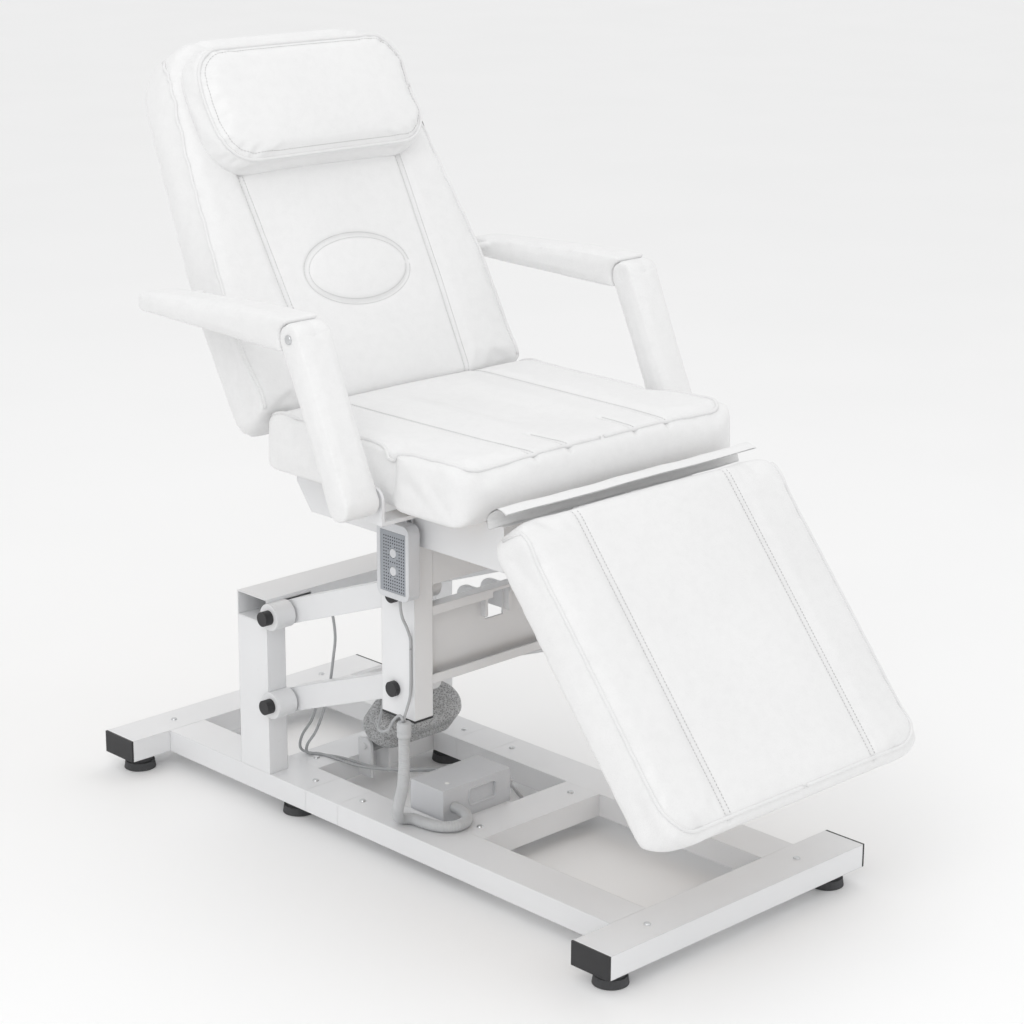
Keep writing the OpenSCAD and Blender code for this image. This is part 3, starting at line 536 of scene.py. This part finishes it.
BACK_U = -Vector(JOINTS["pillow_slide"]["axis"])
BACK = Plane(JOINTS["backrest_recline"]["pos_m"], BACK_U, (0, -BACK_U.z, BACK_U.y))
drop = math.radians(JOINTS["legrest_raise"]["range_deg"][1])
LEG = Plane(JOINTS["legrest_raise"]["pos_m"], (0, -math.cos(drop), -math.sin(drop)),
            (0, -math.sin(drop), math.cos(drop)))
SEAT = Plane((0, 0, 0), (0, -1, 0), (0, 0, 1), 1.0)


def coords(obj):
    co = np.empty(len(obj.data.vertices) * 3)
    obj.data.vertices.foreach_get("co", co)
    return co.reshape(-1, 3)


def set_coords(obj, co):
    obj.data.vertices.foreach_set("co", co.ravel())
    obj.data.update()


def baked(obj):
    """Applies the object's modifiers."""
    deps = bpy.context.evaluated_depsgraph_get()
    mesh = bpy.data.meshes.new_from_object(obj.evaluated_get(deps), depsgraph=deps)
    old = obj.data
    obj.modifiers.clear()
    obj.data = mesh
    bpy.data.meshes.remove(old)
    return obj


def soft_copy(name, node, voxel):
    """A remeshed copy of a CAD node, ready to swell."""
    obj = bpy.data.objects.new(name, NODES[node].data.copy())
    bpy.context.scene.collection.objects.link(obj)
    obj.data.materials.clear()
    r = obj.modifiers.new("remesh", "REMESH")
    r.mode = "VOXEL"
    r.voxel_size = voxel
    baked(obj)
    s = obj.modifiers.new("smooth", "SMOOTH")
    s.factor = 0.5
    s.iterations = 4
    baked(obj)
    obj.data.materials.append(VINYL)
    return obj


def polyline_distance(px, pa, line):
    """Distance of points (px, pa) from a polyline, all in the cushion's plane."""
    best = np.full(len(px), 1e9)
    for (x0, a0), (x1, a1) in zip(line, line[1:]):
        dx, da = x1 - x0, a1 - a0
        t = np.clip(((px - x0) * dx + (pa - a0) * da) / (dx * dx + da * da + 1e-12), 0, 1)
        best = np.minimum(best, np.hypot(px - x0 - t * dx, pa - a0 - t * da))
    return best


def swell(obj, pinned, pressure, cap, frames=20):
    """Cloth with inner pressure, its result kept within cap of where it started."""
    start = coords(obj)
    group = obj.vertex_groups.new(name="pin")
    group.add([int(i) for i in np.nonzero(pinned)[0]], 1.0, "REPLACE")
    scene = bpy.context.scene
    scene.frame_start, scene.frame_end = 1, frames
    scene.frame_set(1)
    m = obj.modifiers.new("cloth", "CLOTH")
    c = m.settings
    c.quality = 4
    c.mass = 0.3
    c.tension_stiffness = c.compression_stiffness = 12
    c.bending_stiffness = 2
    c.use_pressure = True
    c.uniform_pressure_force = pressure
    c.vertex_group_mass = "pin"
    c.effector_weights.gravity = 0
    m.collision_settings.use_collision = False
    m.point_cache.frame_start, m.point_cache.frame_end = 1, frames
    for f in range(1, frames + 1):
        scene.frame_set(f)
    baked(obj)
    scene.frame_set(1)
    co = coords(obj)
    move = co - start
    far = np.linalg.norm(move, axis=1, keepdims=True)
    move *= np.minimum(1, cap / np.maximum(far, 1e-9)) * 1.0
    set_coords(obj, start + move)
    obj.vertex_groups.clear()
    return obj


def finer(obj, smooth=3):
    s = obj.modifiers.new("smooth", "SMOOTH")
    s.factor = 0.5
    s.iterations = smooth
    d = obj.modifiers.new("sub", "SUBSURF")
    d.levels = d.render_levels = 1
    baked(obj)
    obj.data.polygons.foreach_set("use_smooth", [True] * len(obj.data.polygons))
    return obj


def groove(obj, plane, lines, depth, width, front=0.3):
    """Presses seams into the face that looks along the plane's out axis."""
    co = coords(obj)
    normals = np.empty(len(co) * 3)
    obj.data.vertices.foreach_get("normal", normals)
    facing = np.clip((normals.reshape(-1, 3) @ np.array(plane.n) - front) / 0.3, 0, 1)
    px, pa, po = plane.local(co)
    push = np.zeros(len(co))
    for line in lines:
        d = polyline_distance(px, pa, line)
        push = np.maximum(push, np.exp(-(d / width) ** 2))
    set_coords(obj, co - np.array(plane.n) * (push * facing * depth)[:, None])


def tree_of(obj):
    co = coords(obj)
    return BVHTree.FromPolygons([tuple(c) for c in co], [tuple(p.vertices) for p in obj.data.polygons])


def on_face(tree, plane, x, a):
    """Point and normal of the cushion's face above (x, a)."""
    hit, normal, i, d = tree.ray_cast(plane.at(x, a, plane.above), -plane.n, 0.6)
    return hit, normal


def resample(line, pitch):
    pts = [Vector(p).to_2d() if len(p) > 2 else Vector(p) for p in line]
    out, carry = [], 0.0
    for p, q in zip(pts, pts[1:]):
        d = (q - p).length
        t = carry
        while t < d:
            out.append(p.lerp(q, t / d))
            t += pitch
        carry = t - d
    return out


def offset_line(line, w):
    """The polyline moved sideways by w."""
    pts = [Vector(p) for p in line]
    out = []
    for i, p in enumerate(pts):
        t = (pts[min(i + 1, len(pts) - 1)] - pts[max(i - 1, 0)]).normalized()
        out.append(p + Vector((-t.y, t.x)) * w)
    return out


def stitches(name, obj, plane, lines, pitch=0.0055, long=0.0036, r=0.00048, lift=0.0001):
    """Rows of short threads laid on the cushion's face."""
    tree = tree_of(obj)
    b = Build()
    for line in lines:
        pts = resample(line, pitch)
        for p, q in zip(pts, pts[1:]):
            hit, n = on_face(tree, plane, p.x, p.y)
            nxt, m = on_face(tree, plane, q.x, q.y)
            if hit is None or nxt is None or (nxt - hit).length > pitch * 1.7:
                continue
            t = (nxt - hit).normalized()
            base = hit + n * lift
            path = [base - n * r * 0.8, base + t * long * 0.2 + n * r * 0.5,
                base + t * long * 0.8 + n * r * 0.5,
                    base + t * long - n * r * 0.8]
            b.tube(path, [r * 0.6, r, r, r * 0.6], 5, caps=False)
    thread = b.make(name, THREAD, None)
    return thread


def piping(name, paths, r, closed=False):
    b = Build()
    for path in paths:
        b.tube(path, r, 10, closed=closed)
    return b.make(name, WELT, None)


WELT_PASSES = 6


def along_face(tree, plane, line, r, pitch=0.008, sink=0.35):
    """The welt's centre line on the cushion's face."""
    out = []
    for p in resample(line, pitch):
        hit, n = on_face(tree, plane, p.x, p.y)
        if hit is not None:
            out.append(hit + n * r * (1 - 2 * sink))
    heights = np.array([p.dot(plane.n) for p in out])
    even = heights.copy()
    for _ in range(WELT_PASSES):
        even[1:-1] = (even[:-2] + 2 * even[1:-1] + even[2:]) / 4
    # a smoothed welt never sinks under the cushion's face
    return [p + plane.n * (max(e, h) - h) for p, e, h in zip(out, even, heights)]


def mirrored(lines):
    return lines + [[(-x, a) for x, a in line] for line in lines]


def arc(cx, ca, r, a0, a1, n=10):
    return [(cx + r * math.cos(math.radians(a0 + (a1 - a0) * i / n)),
             ca + r * math.sin(math.radians(a0 + (a1 - a0) * i / n))) for i in range(n + 1)]


def ellipse(cx, ca, rx, ra, n=48):
    return [(cx + rx * math.cos(2 * math.pi * i / n), ca + ra * math.sin(2 * math.pi * i / n))
            for i in range(n + 1)]


def double(lines, gap):
    return [offset_line(line, s * gap / 2) for line in lines for s in (-1, 1)]


VOXEL = 0.0065

# Seat cushion
seat = soft_copy("seat_cushion_soft", "seat_cushion", VOXEL)
seat_low, seat_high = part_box("seat_cushion")
seat_lines = mirrored([
    [(0.162, -0.225), (0.160, -0.05), (0.158, 0.14), (0.150, 0.262)],
    [(0.081, 0.176), (0.078, 0.22), (0.075, 0.262)],
])
co = coords(seat)
px, pa, po = SEAT.local(co)
dist = np.min([polyline_distance(px, pa, l) for l in seat_lines], axis=0)
top = po > seat_high.z - 0.02
swell(seat, (po < seat_low.z + 0.01) | (top & (dist < 0.008)), 4.0, 0.006)
finer(seat)
co = coords(seat)
px, pa, po = SEAT.local(co)
dip = (0.010 * np.exp(-(px / 0.062) ** 4) * np.clip((pa + 0.20) / 0.1, 0, 1)
       * np.clip((0.235 - pa) / 0.12, 0, 1))
crown = 0.004 * np.clip(1 - (px / 0.30) ** 2, 0, 1)
lift = np.clip((po - seat_low.z - 0.04) / 0.05, 0, 1)
co[:, 2] += (crown - dip) * lift
set_coords(seat, co)
groove(seat, SEAT, seat_lines, 0.0055, 0.0055)
seat_tree = tree_of(seat)
seat_thread = stitches("seat_stitching", seat, SEAT, double(seat_lines, 0.011))
edge = [(0.282, -0.215), (0.283, 0.035), (0.286, 0.060), (0.297, 0.088), (0.298, 0.222)]
front = arc(0.264, 0.222, 0.034, 0, 90, 8)
seat_welt = piping("seat_piping", [along_face(seat_tree, SEAT, l, 0.003) for l in
                                   mirrored([edge + front[1:] + [(0.0, 0.258)]])], 0.003)
for o in (seat, seat_thread, seat_welt):
    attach(o, "carriage")
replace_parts(seat, "seat_cushion")

# Backrest cushion
back = soft_copy("back_cushion_soft", "back_cushion", VOXEL)
co = coords(back)
px, pa, po = BACK.local(co)
b_low, b_high, b_face, b_rear = pa.min(), pa.max(), po.max(), po.min()
back_lines = mirrored([[(0.160, b_low + 0.02), (0.170, b_low + 0.20), (0.176, b_low + 0.40),
                        (0.180, b_high - 0.12)]])
oval = ellipse(0, b_low + 0.235, 0.112, 0.060)
dist = np.min([polyline_distance(px, pa, l) for l in back_lines + [oval]], axis=0)
face = po > b_face - 0.02
swell(back, (po < b_rear + 0.012) | (face & (dist < 0.008)), 4.0, 0.007)
finer(back)
co = coords(back)
px, pa, po = BACK.local(co)
crown = 0.006 * np.clip(1 - (px / 0.29) ** 2, 0, 1) * np.clip((po - b_rear - 0.03) / 0.04, 0, 1)
inside = np.clip(1 - ((px / 0.112) ** 2 + ((pa - b_low - 0.235) / 0.060) ** 2), 0, 1)
co += np.array(BACK.n) * (crown + 0.004 * np.sqrt(inside) * (po > b_face - 0.03))[:, None]
set_coords(back, co)
groove(back, BACK, back_lines + [oval], 0.0050, 0.0055)
back_tree = tree_of(back)
back_thread = stitches("back_stitching", back, BACK, 
                       double(back_lines, 0.011) + double([oval], 0.010))


def rim(co, plane, face_out, inset, a0, a1, step=0.01):
    """Half width of the cushion's face at each height, pulled in by inset."""
    px, pa, po = plane.local(co)
    near = po > face_out - 0.03
    out = []
    for a in np.arange(a0, a1, step):
        row = near & (np.abs(pa - a) < step)
        if row.any():
            out.append((float(px[row].max()) - inset, float(a)))
    return out


side = rim(coords(back), BACK, b_face, 0.009, b_low + 0.03, b_high - 0.005)
back_welt = piping("back_piping", [along_face(back_tree, BACK, l, 0.003) for l in mirrored([side])], 0.003)
for o in (back, back_thread, back_welt):
    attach(o, "backrest")
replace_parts(back, "back_cushion")

# Legrest cushion
leg = soft_copy("leg_cushion_soft", "leg_cushion", VOXEL)
co = coords(leg)
px, pa, po = LEG.local(co)
l_low, l_high, l_face, l_rear = pa.min(), pa.max(), po.max(), po.min()
leg_lines = mirrored([[(0.171, l_low + 0.01), (0.171, l_low + 0.30), (0.171, l_high - 0.012)]])
dist = np.min([polyline_distance(px, pa, l) for l in leg_lines], axis=0)
swell(leg, (po < l_rear + 0.02) | ((po > l_face - 0.02) & (dist < 0.008)), 4.0, 0.007)
finer(leg)
co = coords(leg)
px, pa, po = LEG.local(co)
crown = 0.006 * np.clip(1 - (px / 0.29) ** 2, 0, 1) * np.clip((po - l_rear - 0.03) / 0.04, 0, 1)
co += np.array(LEG.n) * crown[:, None]
set_coords(leg, co)
groove(leg, LEG, leg_lines, 0.0050, 0.0055)
leg_tree = tree_of(leg)
leg_thread = stitches("leg_stitching", leg, LEG, double(leg_lines, 0.011))
w = 0.286
outline = ([(w, l_low + 0.012), (w, l_high - 0.06)] + arc(w - 0.045, l_high - 0.06, 0.045, 0, 90, 8)[1:]
           + [(0, l_high - 0.014)])
leg_welt = piping("leg_piping", [along_face(leg_tree, LEG, l, 0.003) for l in mirrored([outline])], 0.003)
for o in (leg, leg_thread, leg_welt):
    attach(o, "legrest")
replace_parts(leg, "leg_cushion")

# Head pillow
pillow = soft_copy("head_pillow_soft", "head_pillow", 0.0055)
co = coords(pillow)
px, pa, po = BACK.local(co)
p_low, p_high, p_face, p_rear = pa.min(), pa.max(), po.max(), po.min()
swell(pillow, po < p_rear + 0.004, 5.0, 0.010)
co = coords(pillow)
px, pa, po = BACK.local(co)
mid_a, half_a, half_x = (p_low + p_high) / 2, (p_high - p_low) / 2, px.max()
t = np.clip((po - p_rear) / (p_face - p_rear), 0, 1)
q = (np.clip(1 - np.maximum(np.abs(px) / half_x, 0) ** 4, 0, 1)
     * np.clip(1 - (np.abs(pa - mid_a) / half_a) ** 3, 0, 1))
co += np.array(BACK.n) * (t * (0.012 * q - 0.008))[:, None]
set_coords(pillow, co)
finer(pillow)
pillow_tree = tree_of(pillow)


def round_outline(hx, ca, ha, r, n=8):
    return ([(hx, ca)] + arc(hx - r, ca + ha - r, r, 0, 90, n) + arc(-hx + r, ca + ha - r, r, 90, 180, n)
            + arc(-hx + r, ca - ha + r, r, 180, 270, n) + arc(hx - r, ca - ha + r, r, 270, 360, n)
            + [(hx, ca)])


ring = round_outline(half_x - 0.013, mid_a, half_a - 0.013, 0.060)
pillow_welt = piping("pillow_piping", [along_face(pillow_tree, BACK, ring, 0.003)], 0.003)
pillow_thread = stitches("pillow_stitching", pillow, BACK, 
                         [round_outline(half_x - 0.022, mid_a, half_a - 0.022, 0.052)])
for o in (pillow, pillow_welt, pillow_thread):
    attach(o, "pillow")
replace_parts(pillow, "head_pillow")

# Armrests
for side_name in ("left", "right"):
    for kind in ("post", "pad"):
        node = f"{side_name}_arm_{kind}"
        arm = soft_copy(node + "_soft", node, 0.0042)
        low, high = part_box(node)
        swell(arm, np.zeros(len(arm.data.vertices), bool), 2.5, 0.003, 12)
        if kind == "pad":
            co = coords(arm)
            d = np.clip(high.y - co[:, 1], 0.0005, 0.030) / 0.030
            now = 0.004 + 0.0115 * d
            wanted = 0.0155 * np.sqrt(1 - (1 - d) ** 2)
            middle = low.z + 0.020 + 0.0035 * d
            co[:, 2] = middle + (co[:, 2] - middle) * np.maximum(wanted / now, 0.6)
            set_coords(arm, co)
        finer(arm, 2)
        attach(arm, f"{side_name}_{kind}")
        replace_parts(arm, node)

# Folded strip between the seat and the legrest
flap_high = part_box("gap_flap")[1]
profile = spline([Vector((0, y * mm, z * mm)) for y, z in
                  [(-337, 701), (-318, 706), (-303, 698), (-297, 688), (-297, 676), (-300, 671)]], 0.003)
b = Build()
count, thick, wide = 60, 0.0016, flap_high.x - 0.004
for sign in (1, -1):
    grid = []
    for i in range(count + 1):
        x = -wide + 2 * wide * i / count
        for k, p in enumerate(profile):
            n = Vector((0, 0, 1))
            if 0 < k < len(profile) - 1:
                t = (profile[k + 1] - profile[k - 1]).normalized()
                n = Vector((0, -t.z, t.y)) * (-1 if t.y < 0 else 1)
            wave = 0.0008 * math.sin(x * 61) * math.sin(k * 0.5) + 0.0006 * math.sin(x * 23 + 1)
            grid.append(p + Vector((x, 0, 0)) + n * (wave + sign * thick / 2))
    m = len(profile)
    faces = [(i * m + k, i * m + k + 1, (i + 1) * m + k + 1, (i + 1) * m + k)[::sign]
             for i in range(count) for k in range(m - 1)]
    b.add(grid, faces)
flap = b.make("gap_flap_sheet", VINYL, None)
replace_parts(flap, "gap_flap")
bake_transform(flap)


ELBOW_R = 0.0246

# ---------------------------------------------------------------- details

def loop(path, r, b, sides=8):
    b.tube(path, r, sides, closed=True)


def rect_loop(x0, x1, z0, z1, y, r):
    """A rounded rectangle in the XZ plane at y."""
    out = []
    for cx, cz, a0 in ((x1 - r, z1 - r, 0), (x0 + r, z1 - r, 90), (x0 + r, z0 + r, 180), (x1 - r,
        z0 + r, 270)):
        for k in range(7):
            w = math.radians(a0 + 15 * k)
            out.append(Vector((cx + r * math.cos(w), y, cz + r * math.sin(w))))
    return out


# Lift motor: outer tube, collar and a pill-shaped housing with rounded edges and a belt line
foot = Vector((-0.020, 0.271, 0.092))
head = Vector((-0.020, 0.002, 0.436))
u = (head - foot).normalized()
across = Vector((0, u.z, -u.y))
b = Build()
PILL_R, PILL_LONG = 0.0425, 0.110
rings = [(0.0345, 0.011), (0.0360, 0.006), (0.0390, 0.0025), (0.0440, 0.0), (0.0635, 0.0), (0.0643, 0.0014),
         (0.0665, 0.0014), (0.0673, 0.0), (0.0865, 0.0), (0.0910, 0.0025), (0.0940, 0.006), (0.0955, 0.011)]
sides = 24
verts = []
for d, inset in rings:
    for k in range(2 * sides):
        half = k // sides
        w = math.radians((90, 270)[half] - 180 * ((k % sides) / (sides - 1)))
        cx = PILL_LONG if half == 0 else 0.0
        rad = PILL_R - 0.0005 - inset
        verts.append(foot + u * d + X * (cx + rad * math.cos(w)) + across * (rad * math.sin(w)))
count = 2 * sides
faces = [(i * count + k, i * count + (k + 1) % count, (i + 1) * count + (k + 1) % count, (i + 1) * count + k)
         for i in range(len(rings) - 1) for k in range(count)]
# the top opens into the bore that the ram slides in
top = (len(rings) - 1) * count
for depth in (rings[-1][0], 0.0575):
    for p in verts[top:top + count]:
        out = p - foot
        out = (out - u * out.dot(u)).normalized()
        verts.append(foot + u * depth + out * 0.0124)
faces += [(i * count + k, i * count + (k + 1) % count, (i + 1) * count + (k + 1) % count, (i + 1) * count + k)
          for i in range(len(rings) - 1, len(rings) + 1) for k in range(count)]
faces += [tuple(range(count - 1, -1, -1)), tuple(range((len(rings) + 1) * count, (len(rings) + 2) * count))]
b.add(verts, faces)
housing = b.make("motor_housing", MOTOR_CASE, "actuator")
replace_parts(housing, "actuator_motor")
tube_end = (head - foot).length - 0.190
b = Build()
b.lathe(foot, u, [(0.008, 0.0112), (0.010, 0.0128), (0.030, 0.0130), (0.0302, 0.0178), (0.0315, 0.0188),
                  (0.0960, 0.0188), (0.1010, 0.0188), (0.1015, 0.0180), (0.1030, 0.0180), (0.1035, 0.0188),
                  (tube_end - 0.012, 0.0188), (tube_end - 0.0115, 0.0190), (tube_end - 0.0015, 0.0190),
                  (tube_end - 0.0002, 0.0178), (tube_end - 0.0001, 0.0118), (0.058, 0.0118)], 40)
b.lathe(foot - X * 0.016, X, [(0, 0.0125), (0.0012, 0.0138), (0.0308, 0.0138), (0.0320, 0.0125)], 32)
b.make("motor_tube", MOTOR, "actuator")

# Control box: rim of the handle recess and a small lamp on top
low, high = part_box("control_box")
mid_x = (low.x + high.x) / 2 + 0.012
face = low.y
b = Build()
loop(rect_loop(mid_x - 0.031, mid_x + 0.031, low.z + 0.018, low.z + 0.048, face - 0.0004, 0.006), 0.0013, b)
b.make("box_handle_rim", PALE, "base")
b = Build()
b.lathe((low.x + 0.030, (low.y + high.y) / 2 - 0.018, high.z - 0.0005), (0, 0, 1),
        [(0, 0.0042), (0.0010, 0.0042), (0.0016, 0.0034), (0.0024, 0.0022), (0.0028, 0.0006)], 20)
b.make("box_lamp", LAMP, "base")

# Collar where the leads enter the hose
b = Build()
b.lathe((-0.240, -0.054, 0.254), (0, 0, 1), [(0, 0.0106), (0.0010, 0.0118), (0.0060, 0.0120), (0.0070,
    0.0113),
        (0.0090, 0.0113), (0.0100, 0.0120), (0.0240, 0.0118), (0.0262, 0.0106)], 32)
b.make("hose_collar", HOSE, "lower_arms")

# Handset: round perforations of the keypad, domed keys
low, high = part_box("handset_keypad")
b = Build()
key_z = [(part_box(n)[0].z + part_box(n)[1].z) / 2 for n in ("up_button", "down_button")]
key_y = (low.y + high.y) / 2
step = 0.0052
rows = int((high.z - low.z - 0.008) / step)
cols = int((high.y - low.y - 0.008) / step)
for i in range(rows + 1):
    for j in range(cols + 1):
        y = low.y + 0.004 + j * step
        z = low.z + 0.004 + i * step
        if min((y - key_y) ** 2 + (z - k) ** 2 for k in key_z) > 0.0115 ** 2:
            b.lathe((low.x + 0.0002, y, z), (-1, 0, 0), [(0, 0.0012), (0.0004, 0.0012), (0.0006, 0.0009)], 8)
b.make("keypad_perforations", BLACK, "handset")
for n, body in (("up_button", "up_key"), ("down_button", "down_key")):
    low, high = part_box(n)
    r = (high.z - low.z) / 2
    b = Build()
    b.lathe((high.x, (low.y + high.y) / 2, (low.z + high.z) / 2), (-1, 0, 0),
            [(0, r - 0.0006), (0.0004, r - 0.0001), (high.x - low.x - 0.0012, r - 0.0001),
             (high.x - low.x - 0.0004, r - 0.0009), (high.x - low.x - 0.0001, r - 0.0024),
             (high.x - low.x - 0.0004, r * 0.35), (high.x - low.x - 0.0006, 0.0004)], 32)
    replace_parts(b.make(n + "_cap", PALE, body), n)

# Round vinyl cover over each elbow, which looks the same however the armrest turns
for side_name in ("left", "right"):
    low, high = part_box(f"{side_name}_arm_post")
    width = high.x - low.x
    b = Build()
    b.lathe((low.x + 0.001, 0.022, 0.928), X,
            [(0, ELBOW_R - 0.009), (0.0015, ELBOW_R - 0.0045), (0.005, ELBOW_R - 0.0012), (0.009, ELBOW_R),
             (width / 2 - 0.003, ELBOW_R + 0.0003), (width / 2, ELBOW_R - 0.0008), (width / 2 + 0.003,
                 ELBOW_R + 0.0003),
             (width - 0.011, ELBOW_R), (width - 0.007, ELBOW_R - 0.0012), (width - 0.0035, ELBOW_R - 0.0045),
             (width - 0.002, ELBOW_R - 0.009)], 56)
    b.make(f"{side_name}_elbow_cover", VINYL, f"{side_name}_post")

# Pin heads at the elbows of the armrests
for sign, side_name in ((-1, "left"), (1, "right")):
    low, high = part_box(f"{side_name}_arm_post")
    out = low.x if sign < 0 else high.x
    b = Build()
    b.lathe((out - sign * 0.003, 0.022, 0.928), (sign, 0, 0),
            [(0, 0.0075), (0.0035, 0.0075), (0.0048, 0.0062), (0.0056, 0.0035), (0.0058, 0.0006)], 28)
    b.make(f"{side_name}_elbow_pin", ZINC, f"{side_name}_post")


# ---------------------------------------------------------------- stage and light

def stage():
    b = Build()
    n, span = 24, 60.0
    verts = []
    for i in range(n + 1):
        for j in range(n + 1):
            verts.append((-span + 2 * span * i / n, -span + 2 * span * j / n, -0.0005))
    b.add(verts, [(i * (n + 1) + j, (i + 1) * (n + 1) + j, (i + 1) * (n + 1) + j + 1, i * (n + 1) + j + 1)
                  for i in range(n) for j in range(n)])
    s = Shade("floor_pale", (0.95, 0.95, 0.95), 0.60)
    s.tint(s.noise(1.5, 2), [(0.3, 0.985), (0.7, 1.0)])
    floor = b.make("floor", s.m)


def area(name, at, to, size, power):
    data = bpy.data.lights.new(name, "AREA")
    data.size = size
    data.energy = power
    lamp = bpy.data.objects.new(name, data)
    bpy.context.scene.collection.objects.link(lamp)
    lamp.location = at
    lamp.rotation_euler = (Vector(to) - Vector(at)).to_track_quat("-Z", "Y").to_euler()


stage()
area("key", (-3.2, -1.8, 3.6), (0, 0, 0.6), 2.6, 40)
area("fill", (1.2, -4.2, 2.2), (0, 0, 0.6), 3.0, 8)
area("top", (0.4, 0.6, 4.0), (0, 0, 0.5), 3.0, 10)
world = bpy.data.worlds.new("studio")
bpy.context.scene.world = world
world.use_nodes = True
world.node_tree.nodes["Background"].inputs["Color"].default_value = (1, 1, 1, 1)
world.node_tree.nodes["Background"].inputs["Strength"].default_value = 0.90
bpy.context.scene.view_settings.view_transform = "Standard"
